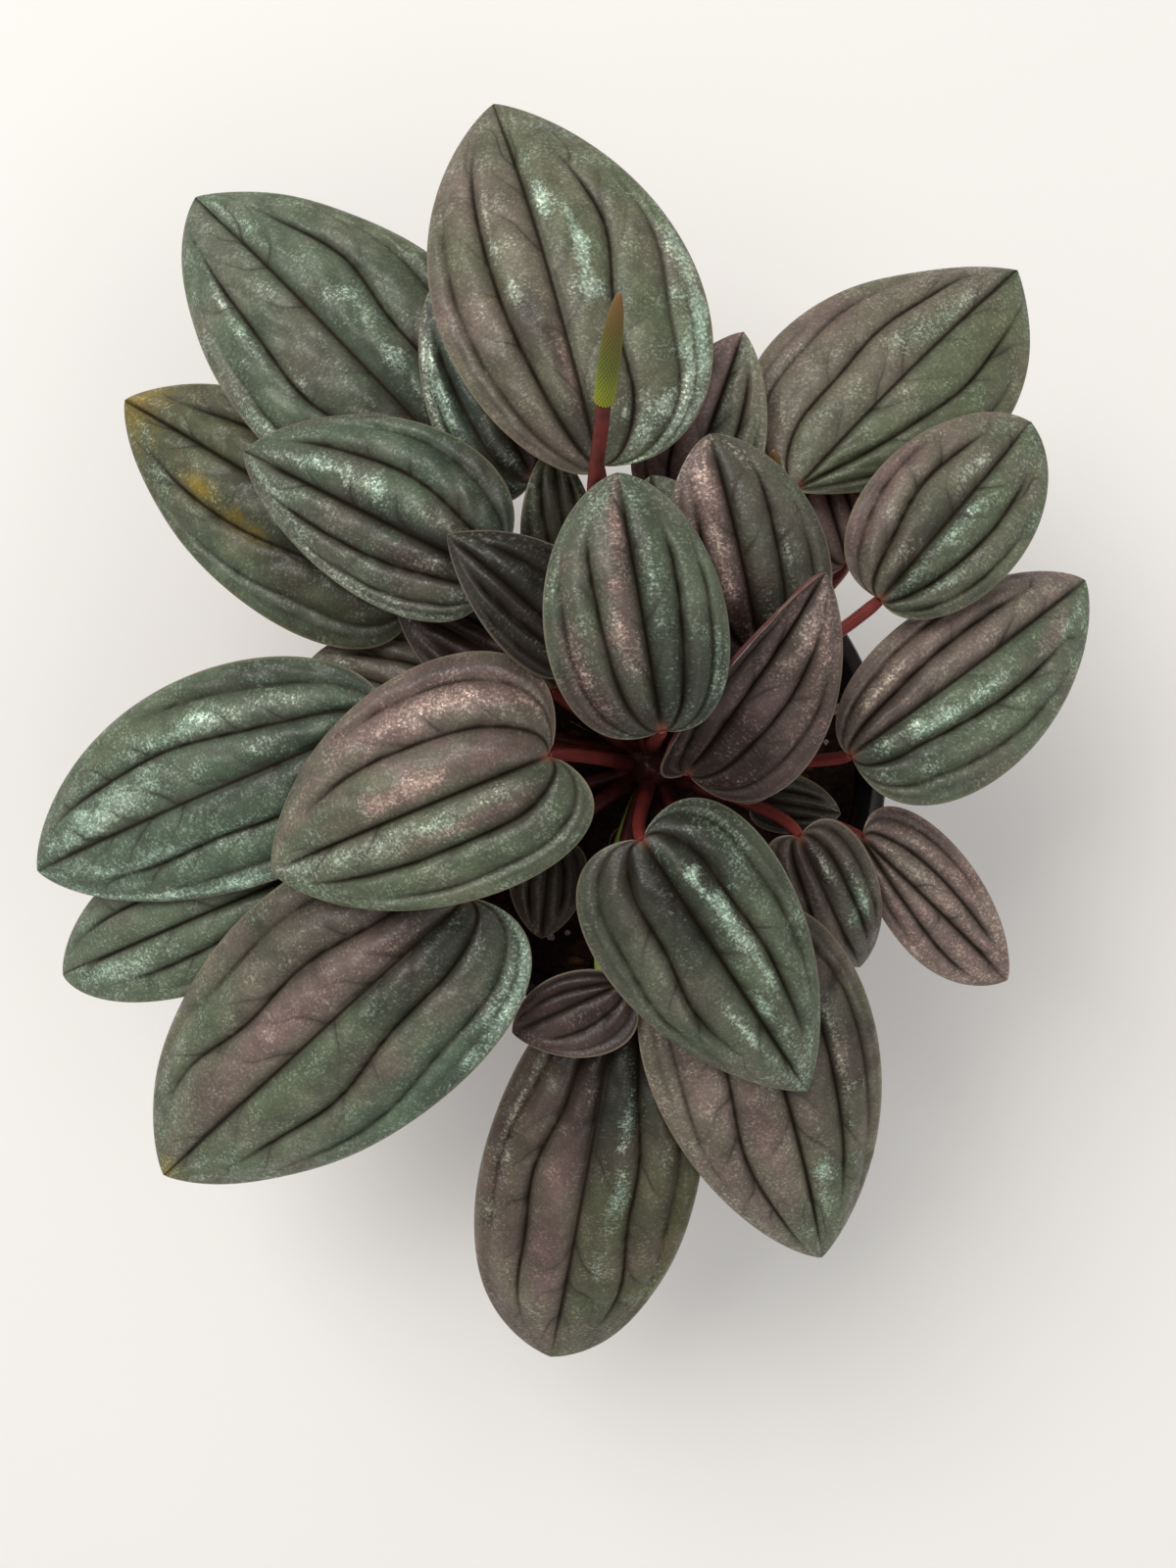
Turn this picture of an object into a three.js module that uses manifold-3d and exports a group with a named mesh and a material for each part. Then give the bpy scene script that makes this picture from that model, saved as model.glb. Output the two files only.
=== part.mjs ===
// A potted Santorini peperomia: ribbed oval leaves on red stalks, two flower spikes, soil and a round pot.
// Millimetres, +Z up. The origin is the middle of the flat underside of the pot.

import * as THREE from 'three';
import { mergeVertices } from 'three/addons/utils/BufferGeometryUtils.js';
import Module from 'manifold-3d';

const wasm = await Module();
wasm.setup();

// Driving dimensions of the pot
const POT_HEIGHT = 88;
const POT_RIM_RADIUS = 52;
const POT_BASE_RADIUS = 37.5;
const POT_WALL = 1.8;
const POT_FLOOR = 2.4;
const RIM_HEIGHT = 9;
const RIM_LEDGE = 2.2;
const RIM_LIP = 1.2;
const POT_SIDES = 40;
const DRAIN_RADIUS = 4.2;
const DRAIN_CIRCLE = 25;
const DRAIN_COUNT = 6;

// Driving dimensions of the soil
const GAP = 0.3;
const SOIL_LEVEL = 79;
const SOIL_CROWN_RISE = 2.2;
const SOIL_SIDES = 28;
const CRUMB_COUNT = 16;
const CRUMB_RADIUS = 1.7;

// Driving dimensions of the crown and the stalks
const CROWN = new THREE.Vector3(3.5, 1, 84);
const CROWN_RADIUS = 6;
const CROWN_DEPTH = 16;
const CROWN_RISE = 7;
const STALK_RADIUS = 1.3;
const STALK_FLARE = 1.35;
const STALK_BEND = 9;
const STALK_SIDES = 6;
const STALK_STEPS = 5;
const STALK_FOOT = 3.4;
const STALK_ARRIVAL = [0.5, 0.87];
const STALK_SHOULDER = 0.35;
const STALK_LIFT = 0.12;

// Driving dimensions of every leaf blade
const BLADE = 0.9;
const LOBE = 0.09;
const FULL = 0.4;
const RIBS_AT_STALK = [0, 0.36, 0.74, 1];
const RIBS_AT_TIP = [0, 0.56, 0.88, 1];
const RIDGE_HEIGHTS = [1, 0.85, 0.5];
const BASE_FADE = 0.14;
const TIP_FADE = 0.3;
const WAVE_PACE = 14;

const degrees = THREE.MathUtils.degToRad;

// Each leaf: where its stalk joins it, its tip, and the flat widths left and right of its midrib,
// seen from above and looking from the stalk to the tip. The rest is shape:
// arch and sweep bow the midrib up and to the left, as a share of the length,
// roll lifts the left side, curl lifts (or with minus, droops) the left and right margins, in degrees,
// twist turns the tip, rib is the depth of the ribbing as a share of the length,
// full is 0.4 for a broad base and 0.9 for a narrow one,
// point is 0.6 for a rounded tip and 1 for a pointed one, lobe is how far the base reaches back round
// the stalk as a share of the length, wave ripples the margin,
// bow pushes the middle of the stalk aside and up, and rows is the number of cross-sections.
const LEAVES = {
  // The back of the rosette
  leaf_01: { base: [-7.5, 55, 126], tip: [-27.5, 126, 113], half: [22.5, 27.5], arch: 0.1,
    roll: 4, curl: [-25, -14], rib: 0.022, full: [0.68, 0.42], point: 0.75, lobe: 0.04 },
  leaf_02: { base: [-36, 60, 105], tip: [-88.5, 115, 94], half: [25, 26], arch: 0.1, curl: [-22, -18],
    rib: 0.02, point: [0.62, 0.8], wave: 0.008 },
  leaf_03: { base: [-44, 38, 99], tip: [-105.5, 76.5, 84], half: [23, 20], arch: 0.09, curl: [-20, -15],
    rib: 0.016, point: 0.75, wave: 0.006 },
  leaf_04: { bow: [4, 3, 0], base: [-28, 36, 119], tip: [-76, 61, 108], half: [15.8, 20.5],
    arch: 0.06, roll: -6, curl: [-32, -18], rib: 0.03, point: 0.7, lobe: 0.04 },
  leaf_05: { base: [-20, 55, 114], tip: [-39, 92, 112], half: [13, 12], arch: 0.05, curl: [-15, -15],
    rib: 0.025, point: 0.75, rows: 6, twist: 6 },
  leaf_06: { base: [-13, 37, 110], tip: [-16.5, 61, 116], half: [8.5, 6.5], arch: 0.05, curl: [14, 14],
    rib: 0.03, point: 0.8, rows: 5 },
  leaf_07: { base: [-11, 21, 125], tip: [-35, 42, 128], half: [10, 13], arch: 0.08, roll: 10,
    curl: [-45, -14], rib: 0.04, point: 0.8, rows: 6 },
  // The middle of the rosette
  leaf_08: { base: [3.3, 6.5, 138], tip: [-4.7, 51, 140], half: [18, 15.5], arch: 0.09,
    curl: [-26, -30], rib: 0.04, point: 0.55, lobe: 0.06 },
  leaf_09: { base: [10, 26, 111], tip: [2, 54, 121], half: [10, 13], arch: 0.06, curl: [-15, -15],
    rib: 0.03, point: 0.65, rows: 6 },
  leaf_10: { base: [22.5, 22, 119], tip: [12.5, 60.5, 127], half: [14, 17.5], arch: 0.07, roll: 4,
    curl: [-12, -24], rib: 0.042, point: 0.62 },
  leaf_11: { base: [9, -1, 118], tip: [32.7, 34.5, 133], half: [13, 18], arch: 0.04, roll: 24,
    curl: [68, 14], rib: 0.035, point: 0.8, lobe: 0.06 },
  leaf_12: { base: [15, -2, 107], tip: [36, 24, 113], half: [11, 11], arch: 0.08, curl: [10, -10],
    rib: 0.03, point: 0.8, rows: 5 },
  // The right of the rosette
  leaf_13: { base: [31, 54.5, 107], tip: [76.5, 100, 95], half: [25, 21], arch: 0.1, roll: -6,
    curl: [-24, -24], rib: 0.014, full: [0.4, 0.95], point: 0.85, lobe: 0.03, wave: 0.006 },
  leaf_14: { base: [9, 52, 105], tip: [20, 83, 112], half: [13, 12], arch: 0.04,
    curl: [12, 12], rib: 0.025, point: 0.8, rows: 6 },
  leaf_15: { base: [45, 31.5, 118], tip: [75.5, 66.5, 109], half: [16.5, 15.5], arch: 0.06,
    curl: [-18, -18], rib: 0.038, full: [0.4, 0.5], point: 0.55, lobe: 0.03, bow: [0, 0, 4] },
  leaf_16: { base: [40.5, 2.5, 112], tip: [88, 37, 102], half: [15, 20.5], arch: 0.09,
    curl: [-24, -16], rib: 0.034, full: [0.5, 0.4], point: 0.68, lobe: 0.03 },
  leaf_17: { base: [42, 41, 98], tip: [35, 62, 100], half: [10, 8], arch: 0.04, curl: [10, 10],
    rib: 0.02, point: 0.8, rows: 4 },
  // The front right of the rosette
  leaf_18: { base: [45.5, -14, 96], tip: [77, -43.5, 85], half: [12, 10.5], arch: 0.06, curl: [-18, -18],
    rib: 0.02, full: [0.4, 0.9], point: [0.8, 0.6], rows: 6, twist: 12 },
  leaf_19: { base: [31.5, -13.5, 106], tip: [46, -40.5, 88], half: [11, 10], arch: 0.09, roll: 8,
    curl: [-16, -24], rib: 0.036, point: 0.7, rows: 6 },
  leaf_20: { base: [0.5, -13.5, 122], tip: [32.5, -62, 109], half: [19.8, 20], arch: 0.09,
    curl: [-24, -20], rib: 0.036, point: 0.8 },
  leaf_21: { base: [17, -30, 108], tip: [38.5, -100.5, 86], half: [22, 25], arch: 0.1, sweep: 0.02,
    curl: [-22, -20], rib: 0.022, point: 0.75, lobe: 0.04, twist: -6 },
  leaf_22: { base: [24, -6, 95], tip: [41, -9, 95], half: [6.5, 6], arch: 0.05, curl: [-10, -10],
    rib: 0.02, point: 0.7, rows: 4 },
  // The front left of the rosette
  leaf_23: { bow: [-7, 0, 0], base: [-4, -47.5, 99], tip: [-17.5, -124, 77], half: [23, 22],
    arch: 0.1, curl: [-18, -24], rib: 0.024, full: [0.4, 0.6], point: 0.52, wave: 0.006 },
  leaf_24: { bow: [-6, 0, 0], base: [-3.5, -42, 106], tip: [-24.5, -52, 101], half: [11, 7],
    arch: 0.04, curl: [14, 14], rib: 0.02, full: [0.4, 0.8], point: 0.8, rows: 5 },
  leaf_25: { base: [-33, -25, 111], tip: [-96.5, -83, 88], half: [26, 27.5], arch: 0.1, curl: [-18, -24],
    rib: 0.026, full: [0.4, 0.5], point: [0.75, 0.68], wave: 0.006 },
  leaf_26: { base: [-17, -15, 96], tip: [-19, -34, 94], half: [8, 8], arch: 0.05, curl: [-10, -10],
    rib: 0.02, point: 0.7, rows: 4 },
  // The left of the rosette
  leaf_27: { base: [-17, 2, 126], tip: [-69.5, -19.5, 114], half: [20, 25.5], arch: 0.08, curl: [-18, -24],
    rib: 0.034, point: 0.7, lobe: 0.14 },
  leaf_28: { base: [-49, 9, 113], tip: [-121, -20.5, 92], half: [21, 23], arch: 0.08, curl: [-24, -18],
    rib: 0.018, full: [0.4, 0.55], point: 0.68, lobe: 0.05 },
  leaf_29: { base: [-61.5, -18.5, 101], tip: [-118, -42.5, 85], half: [15, 16.5], arch: 0.08, curl: [-15, -15],
    rib: 0.016, full: [0.4, 0.6], point: 0.6, rows: 6, twist: 8 },
  leaf_30: { base: [-35, 12, 95], tip: [-66, 22, 91], half: [13, 13], arch: 0.05, curl: [-12, -12],
    rib: 0.018, point: 0.7, rows: 5 },
  leaf_31: { base: [-17, 15.5, 103], tip: [-47, 33, 103], half: [11, 10], arch: 0.06, curl: [-12, -12],
    rib: 0.025, point: 0.7, rows: 6 },
};

// Each flower spike: the points of its red stalk, and the point that the green spike reaches
const SPIKES = {
  flower_spike_1: { stalk: [[3, 2, 88], [-4, 24, 110], [-8.5, 44, 129], [-7, 61, 149]],
    tip: [-4.7, 74, 168], radius: 1.9 },
  flower_spike_2: { stalk: [[6, 3, 87], [16, 24, 95], [26, 46, 104], [26.3, 55, 113]],
    tip: [24.5, 58.5, 122], radius: 1.2 },
};

// A stalk that has lost its leaf, low on the right
const BARE_STALK = [[5, 2, 86], [28, 8, 97], [46, 14, 101], [55, 17, 101]];
const BARE_STALK_RADIUS = 0.9;

const SPIKE_SIDES = 8;
const SPIKE_RINGS = 9;
const SPIKE_STALK = 0.72;
const SPIKE_BEND = 0.8;

const COLOURS = {
  leaf: 0x5f7263,
  stalk: 0x8a3a30,
  spike: 0x8a8a3a,
  soil: 0x33221a,
  pot: 0x1b1b1d,
};

// Joins and cuts

function toSolid(geometry) {
  const bare = geometry.index ? geometry.clone() : geometry;
  bare.deleteAttribute('normal');
  bare.deleteAttribute('uv');
  const merged = mergeVertices(bare, 1e-4);
  const mesh = new wasm.Mesh({
    numProp: 3,
    vertProperties: new Float32Array(merged.attributes.position.array),
    triVerts: new Uint32Array(merged.index.array),
  });
  return new wasm.Manifold(mesh);
}

function fromSolid(solid) {
  const mesh = solid.getMesh();
  return closedGeometry(Array.from(mesh.vertProperties), Array.from(mesh.triVerts));
}

function closedGeometry(positions, triangles) {
  const geometry = new THREE.BufferGeometry();
  geometry.setAttribute('position', new THREE.Float32BufferAttribute(positions, 3));
  geometry.setIndex(triangles);
  geometry.computeVertexNormals();
  return geometry;
}

// A small seeded draw between 0 and 1, so that every build is the same
function seededDraw(seed) {
  let state = seed;
  return () => {
    state = (state * 16807) % 2147483647;
    return state / 2147483647;
  };
}

// Leaves

const smooth = (x) => THREE.MathUtils.smoothstep(x, 0, 1);

// The half width along the leaf: a share of the widest, zero at the stalk and at the tip
function widthAt(u, full, point) {
  const widest = full / (full + point);
  return (u / widest) ** full * ((1 - u) / (1 - widest)) ** point;
}

// How far the two lobes beside the stalk reach back, as a share of the leaf's lobe
function lobeAt(u) {
  const deepest = 0.11;
  return (u / deepest) ** 0.27 * ((1 - u) / (1 - deepest)) ** 2.2;
}

// Where the ribs lie across the leaf: they spread a little towards the tip
function ribsAt(u) {
  return RIBS_AT_STALK.map((share, i) => THREE.MathUtils.lerp(share, RIBS_AT_TIP[i], u));
}

// The rounded ridges between the sunken ribs, across the leaf
function ridgeAt(u, across) {
  const ribs = ribsAt(u);
  const rib = RIDGE_HEIGHTS.findIndex((height, i) => across <= ribs[i + 1] + 1e-9);
  const place = (across - ribs[rib]) / (ribs[rib + 1] - ribs[rib]);
  return RIDGE_HEIGHTS[rib] * Math.sin(Math.PI * Math.min(place, 1)) ** 0.8;
}

// The frame of a leaf: its length, and the directions ahead, to its left and out of its face
function leafFrame({ base, tip, roll = 0 }) {
  const start = new THREE.Vector3(...base);
  const ahead = new THREE.Vector3(...tip).sub(start);
  const length = ahead.length();
  ahead.normalize();
  const left = new THREE.Vector3(0, 0, 1).cross(ahead).normalize().applyAxisAngle(ahead, degrees(roll));
  const face = ahead.clone().cross(left);
  return { start, length, ahead, left, face };
}

// The midrib at u along the leaf: its place, its direction, the way to the left and the way out of the face
function midribAt({ arch = 0, sweep = 0, twist = 0 }, { start, length, ahead, left, face }, u) {
  const bulge = 4 * u * (1 - u) * length;
  const slope = 4 * (1 - 2 * u);
  const middle = start.clone().addScaledVector(ahead, u * length);
  middle.addScaledVector(face, arch * bulge).addScaledVector(left, sweep * bulge);
  const tangent = ahead.clone().addScaledVector(face, arch * slope).addScaledVector(left, sweep * slope);
  tangent.normalize();
  const sideways = left.clone().addScaledVector(tangent, -left.dot(tangent)).normalize();
  sideways.applyAxisAngle(tangent, degrees(twist) * u);
  const out = tangent.clone().cross(sideways);
  return { middle, tangent, sideways, out };
}

// A value that is the same on both sides, or a pair of a left and a right one
const ofSide = (value, side) => (Array.isArray(value) ? value[side] : value);

// The upper surface at u along the leaf and v across it, with the direction out of the blade there
function leafPoint(leaf, frame, u, v) {
  const { half, curl, rib, full = FULL, point, wave = 0, lobe = LOBE } = leaf;
  const { length } = frame;
  const { middle, tangent, sideways, out } = midribAt(leaf, frame, u);

  const side = v < 0 ? 1 : 0;
  const across = Math.abs(v);
  const width = half[side] * widthAt(u, ofSide(full, side), ofSide(point, side));
  const bend = degrees(curl[side]) || 1e-6;
  const reach = Math.sin(bend * across) / bend * width * Math.sign(v);
  const lift = (1 - Math.cos(bend * across)) / bend * width;
  const tipFade = smooth((1 - u) / TIP_FADE);
  const ridge = rib * length * smooth(u / BASE_FADE) * tipFade * ridgeAt(u, across);
  const ripple = wave * length * across ** 4 * Math.sin(u * WAVE_PACE + side * 2) * tipFade;
  const back = lobe * length * across ** 1.5 * lobeAt(u);

  const surface = middle.addScaledVector(tangent, -back).addScaledVector(sideways, reach);
  surface.addScaledVector(out, lift + ridge + ripple);
  const normal = out.multiplyScalar(Math.cos(bend * across));
  normal.addScaledVector(sideways, -Math.sin(bend * across) * Math.sign(v));
  return { surface, normal };
}

// Places across the blade: each rib, and the top of each ridge between two ribs. A small leaf has
// its outer rib left out.
function acrossBlade(u, fine) {
  const ribs = fine ? ribsAt(u) : ribsAt(u).filter((share, i) => i !== 2);
  const left = ribs.slice(1).flatMap((share, i) => [(ribs[i] + share) / 2, share]);
  return [...left.map((v) => -v).reverse(), 0, ...left];
}

function leafGeometry(leaf) {
  const { rows = 8 } = leaf;
  const frame = leafFrame(leaf);
  const fine = rows > 5;
  const positions = [];
  for (const under of [0, 1]) {
    const place = (u, v) => {
      const { surface, normal } = leafPoint(leaf, frame, u, v);
      positions.push(...surface.addScaledVector(normal, -under * BLADE));
    };
    place(0, 0);
    for (let row = 1; row <= rows; row += 1) {
      const u = 0.5 - 0.5 * Math.cos(Math.PI * row / (rows + 1));
      acrossBlade(u, fine).forEach((v) => place(u, v));
    }
    place(1, 0);
  }
  return closedGeometry(positions, bladeTriangles(rows, acrossBlade(0, fine).length));
}

// Two faces of the same grid, split alike, joined by a narrow wall round the margin
function bladeTriangles(rows, count) {
  const faceSize = rows * count + 2;
  const last = faceSize - 1;
  const at = (row, column) => 1 + row * count + column;
  const upper = [];
  for (let column = 0; column < count - 1; column += 1) {
    upper.push([0, at(0, column), at(0, column + 1)]);
    upper.push([last, at(rows - 1, column + 1), at(rows - 1, column)]);
    for (let row = 0; row < rows - 1; row += 1) {
      const corners = [at(row, column), at(row + 1, column), at(row + 1, column + 1), at(row, column + 1)];
      const flip = column < (count - 1) / 2;
      upper.push(flip ? [corners[0], corners[1], corners[2]] : [corners[1], corners[2], corners[3]]);
      upper.push(flip ? [corners[0], corners[2], corners[3]] : [corners[1], corners[3], corners[0]]);
    }
  }
  const margin = [0];
  for (let row = 0; row < rows; row += 1) margin.push(at(row, 0));
  margin.push(last);
  for (let row = rows - 1; row >= 0; row -= 1) margin.push(at(row, count - 1));
  const triangles = [];
  upper.forEach(([a, b, c]) => {
    triangles.push(a, b, c);
    triangles.push(a + faceSize, c + faceSize, b + faceSize);
  });
  margin.forEach((a, i) => {
    const b = margin[(i + 1) % margin.length];
    triangles.push(b, a, a + faceSize);
    triangles.push(b, a + faceSize, b + faceSize);
  });
  return triangles;
}

// Stalks

// A closed round tube along a curve, with a radius for each place along it
function tube(curve, radiusAt, sides, steps) {
  const frames = curve.computeFrenetFrames(steps);
  const positions = [];
  const triangles = [];
  for (let step = 0; step <= steps; step += 1) {
    const centre = curve.getPointAt(step / steps);
    const radius = radiusAt(step / steps);
    for (let side = 0; side < sides; side += 1) {
      const angle = side / sides * 2 * Math.PI;
      const corner = centre.clone().addScaledVector(frames.normals[step], Math.cos(angle) * radius);
      corner.addScaledVector(frames.binormals[step], Math.sin(angle) * radius);
      positions.push(...corner);
    }
  }
  const at = (step, side) => step * sides + side % sides;
  for (let side = 0; side < sides; side += 1) {
    for (let step = 0; step < steps; step += 1) {
      triangles.push(at(step, side), at(step, side + 1), at(step + 1, side + 1));
      triangles.push(at(step, side), at(step + 1, side + 1), at(step + 1, side));
    }
    if (side > 0 && side < sides - 1) {
      triangles.push(at(0, 0), at(0, side + 1), at(0, side));
      triangles.push(at(steps, 0), at(steps, side), at(steps, side + 1));
    }
  }
  return closedGeometry(positions, triangles);
}

// A stalk leaves the crown, arches out and meets the underside of its leaf from behind and below
function stalkCurve(leaf) {
  const { bow = [0, 0, 0] } = leaf;
  const { middle, tangent, out } = midribAt(leaf, leafFrame(leaf), 0);
  const [along, upward] = STALK_ARRIVAL;
  const arriving = tangent.clone().multiplyScalar(along).addScaledVector(out, upward).normalize();
  const end = middle.clone().addScaledVector(out, -(BLADE + GAP + 0.6 * STALK_RADIUS));
  const outward = end.clone().sub(CROWN).setZ(0);
  const distance = end.distanceTo(CROWN);
  const reach = Math.min(STALK_FOOT, outward.length());
  const foot = CROWN.clone().addScaledVector(outward.normalize(), reach);
  const first = foot.clone().lerp(end, STALK_SHOULDER).add(new THREE.Vector3(...bow));
  first.z += STALK_LIFT * distance;
  const second = end.clone().addScaledVector(arriving, -STALK_BEND).add(new THREE.Vector3(...bow));
  return new THREE.CubicBezierCurve3(foot, first, second, end);
}

function crownGeometry() {
  const knob = [
    [0, -CROWN_DEPTH], [CROWN_RADIUS * 0.6, -CROWN_DEPTH], [CROWN_RADIUS - GAP, -CROWN_DEPTH * 0.6],
    [CROWN_RADIUS - GAP, 0], [CROWN_RADIUS * 0.8, CROWN_RISE * 0.7], [0, CROWN_RISE],
  ];
  const crown = new THREE.LatheGeometry(knob.map(([x, y]) => new THREE.Vector2(x, y)), 10);
  crown.rotateX(Math.PI / 2).translate(CROWN.x, CROWN.y, CROWN.z);
  let solid = toSolid(crown);
  const swelling = (t) => STALK_RADIUS * (1 + (STALK_FLARE - 1) * (1 - smooth(t * 2.5)));
  Object.values(LEAVES).forEach((leaf) => {
    solid = solid.add(toSolid(tube(stalkCurve(leaf), swelling, STALK_SIDES, STALK_STEPS)));
  });
  Object.values(SPIKES).forEach((spike) => {
    const stalk = tube(curveThrough(spike.stalk), () => spike.radius * SPIKE_STALK, STALK_SIDES, STALK_STEPS);
    solid = solid.add(toSolid(stalk));
  });
  const bare = tube(curveThrough(BARE_STALK), () => BARE_STALK_RADIUS, STALK_SIDES, STALK_STEPS);
  solid = solid.add(toSolid(bare));
  return fromSolid(solid);
}

function curveThrough(points) {
  return new THREE.CatmullRomCurve3(points.map((point) => new THREE.Vector3(...point)));
}

// A slim spike with rows of low bumps, a narrow gap above its stalk
function spikeGeometry({ stalk, tip, radius }) {
  const foot = new THREE.Vector3(...stalk[stalk.length - 1]);
  const top = new THREE.Vector3(...tip);
  const lean = top.clone().sub(foot).normalize();
  const middle = foot.clone().lerp(top, 0.5);
  middle.y += SPIKE_BEND;
  foot.addScaledVector(lean, GAP + 0.35 * radius);
  const curve = new THREE.QuadraticBezierCurve3(foot, middle, top);
  const bump = (t) => 1 + 0.05 * Math.cos(t * SPIKE_RINGS * Math.PI);
  const taper = (t) => (1 - 0.45 * t) * Math.sqrt(1.02 - t ** 6);
  return tube(curve, (t) => radius * taper(t) * bump(t), SPIKE_SIDES, SPIKE_RINGS);
}

// Soil and pot

// The inner radius of the pot wall at a height
function innerRadius(z) {
  const wallTop = POT_RIM_RADIUS - RIM_LEDGE - RIM_LIP;
  return THREE.MathUtils.lerp(POT_BASE_RADIUS, wallTop, z / (POT_HEIGHT - RIM_HEIGHT)) - POT_WALL;
}

function potGeometry() {
  const shoulder = POT_HEIGHT - RIM_HEIGHT;
  const wallTop = POT_RIM_RADIUS - RIM_LEDGE - RIM_LIP;
  const profile = [
    [0, 0], [POT_BASE_RADIUS - 1, 0], [POT_BASE_RADIUS, 1], [wallTop, shoulder],
    [wallTop + RIM_LEDGE, shoulder + 0.6], [POT_RIM_RADIUS - 0.4, POT_HEIGHT - 1],
    [POT_RIM_RADIUS - 0.9, POT_HEIGHT], [POT_RIM_RADIUS - RIM_LIP - 1.6, POT_HEIGHT],
    [POT_RIM_RADIUS - RIM_LIP - 2.2, POT_HEIGHT - 1.2], [innerRadius(shoulder), shoulder - 0.8],
    [innerRadius(POT_FLOOR), POT_FLOOR], [0, POT_FLOOR],
  ];
  const shell = new THREE.LatheGeometry(profile.map(([x, y]) => new THREE.Vector2(x, y)), POT_SIDES);
  shell.rotateX(Math.PI / 2);
  let solid = toSolid(shell);
  for (let hole = 0; hole < DRAIN_COUNT; hole += 1) {
    const angle = hole / DRAIN_COUNT * 2 * Math.PI;
    const drain = new THREE.CylinderGeometry(DRAIN_RADIUS, DRAIN_RADIUS, POT_FLOOR * 3, 12);
    drain.rotateX(Math.PI / 2).translate(Math.cos(angle) * DRAIN_CIRCLE, Math.sin(angle) * DRAIN_CIRCLE, 0);
    solid = solid.subtract(toSolid(drain));
  }
  return fromSolid(solid);
}

// The uneven top of the soil, a little higher in the middle
function soilHeight(x, y) {
  const radius = Math.hypot(x, y) / innerRadius(SOIL_LEVEL);
  const uneven = Math.sin(x * 0.31 + 1) * Math.cos(y * 0.27) + 0.6 * Math.sin(x * 0.71 - y * 0.53);
  return SOIL_LEVEL + SOIL_CROWN_RISE * (1 - radius ** 2) + 0.5 * uneven * (1 - radius ** 6);
}

function soilGeometry() {
  const draw = seededDraw(7);
  const rings = [0.22, 0.42, 0.6, 0.78, 0.92, 1];
  const topRadius = innerRadius(SOIL_LEVEL) - GAP;
  const foot = POT_FLOOR + GAP;
  const positions = [0, 0, soilHeight(0, 0)];
  const ring = (radius, heightAt) => {
    for (let side = 0; side < SOIL_SIDES; side += 1) {
      const angle = side / SOIL_SIDES * 2 * Math.PI;
      const x = Math.cos(angle) * radius;
      const y = Math.sin(angle) * radius;
      positions.push(x, y, heightAt(x, y));
    }
  };
  rings.forEach((share) => ring(share * topRadius, soilHeight));
  ring(innerRadius(foot) - GAP, () => foot);
  positions.push(0, 0, foot);
  const centre = positions.length / 3 - 1;
  const at = (row, side) => 1 + row * SOIL_SIDES + side % SOIL_SIDES;
  const triangles = [];
  for (let side = 0; side < SOIL_SIDES; side += 1) {
    triangles.push(0, at(0, side), at(0, side + 1));
    for (let row = 0; row < rings.length; row += 1) {
      triangles.push(at(row, side), at(row + 1, side), at(row + 1, side + 1));
      triangles.push(at(row, side), at(row + 1, side + 1), at(row, side + 1));
    }
    triangles.push(centre, at(rings.length, side + 1), at(rings.length, side));
  }
  let solid = toSolid(closedGeometry(positions, triangles));
  for (let crumb = 0; crumb < CRUMB_COUNT; crumb += 1) {
    const angle = draw() * 2 * Math.PI;
    const radius = THREE.MathUtils.lerp(14, topRadius - 4, Math.sqrt(draw()));
    const size = CRUMB_RADIUS * (0.6 + 0.6 * draw());
    const x = Math.cos(angle) * radius;
    const y = Math.sin(angle) * radius;
    const lump = new THREE.IcosahedronGeometry(size, 0);
    lump.rotateX(angle).translate(x, y, soilHeight(x, y) + 0.2 * size);
    solid = solid.add(toSolid(lump));
  }
  const hole = new THREE.CylinderGeometry(CROWN_RADIUS, CROWN_RADIUS, 40, 16);
  hole.rotateX(Math.PI / 2).translate(CROWN.x, CROWN.y, CROWN.z - CROWN_DEPTH - GAP + 20);
  return fromSolid(solid.subtract(toSolid(hole)));
}

// The plant in its pot

const group = new THREE.Group();

function addPiece(name, geometry, colour, roughness) {
  const material = new THREE.MeshStandardMaterial({ color: colour, roughness, metalness: 0 });
  const mesh = new THREE.Mesh(geometry, material);
  mesh.name = name;
  group.add(mesh);
}

addPiece('pot', potGeometry(), COLOURS.pot, 0.45);
addPiece('soil', soilGeometry(), COLOURS.soil, 0.95);
addPiece('crown_and_stalks', crownGeometry(), COLOURS.stalk, 0.5);
Object.entries(SPIKES).forEach(([name, spike]) => addPiece(name, spikeGeometry(spike), COLOURS.spike, 0.55));
Object.entries(LEAVES).forEach(([name, leaf]) => addPiece(name, leafGeometry(leaf), COLOURS.leaf, 0.4));

export default group;
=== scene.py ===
import math
import random
from types import SimpleNamespace

import bpy
import numpy as np
from mathutils import Matrix, Vector
from mathutils.noise import noise


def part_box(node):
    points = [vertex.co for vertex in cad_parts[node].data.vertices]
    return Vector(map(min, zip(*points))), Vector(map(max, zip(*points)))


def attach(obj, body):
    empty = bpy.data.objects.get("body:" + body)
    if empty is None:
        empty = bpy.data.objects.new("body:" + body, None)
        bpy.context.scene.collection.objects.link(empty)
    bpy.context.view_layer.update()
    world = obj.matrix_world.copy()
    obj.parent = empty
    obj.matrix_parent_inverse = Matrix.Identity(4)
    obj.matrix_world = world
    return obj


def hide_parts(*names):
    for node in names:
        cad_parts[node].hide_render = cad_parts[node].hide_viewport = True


bl_info = {
    "name": "Potted Santorini Peperomia",
    "version": (1, 0, 0),
    "blender": (4, 5, 0),
    "location": "View3D > Sidebar > Peperomia",
    "description": "Dresses the packed plant with ribbed leaves, stalks, flower spikes, soil and a pot",
    "category": "Object",
}

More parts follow.
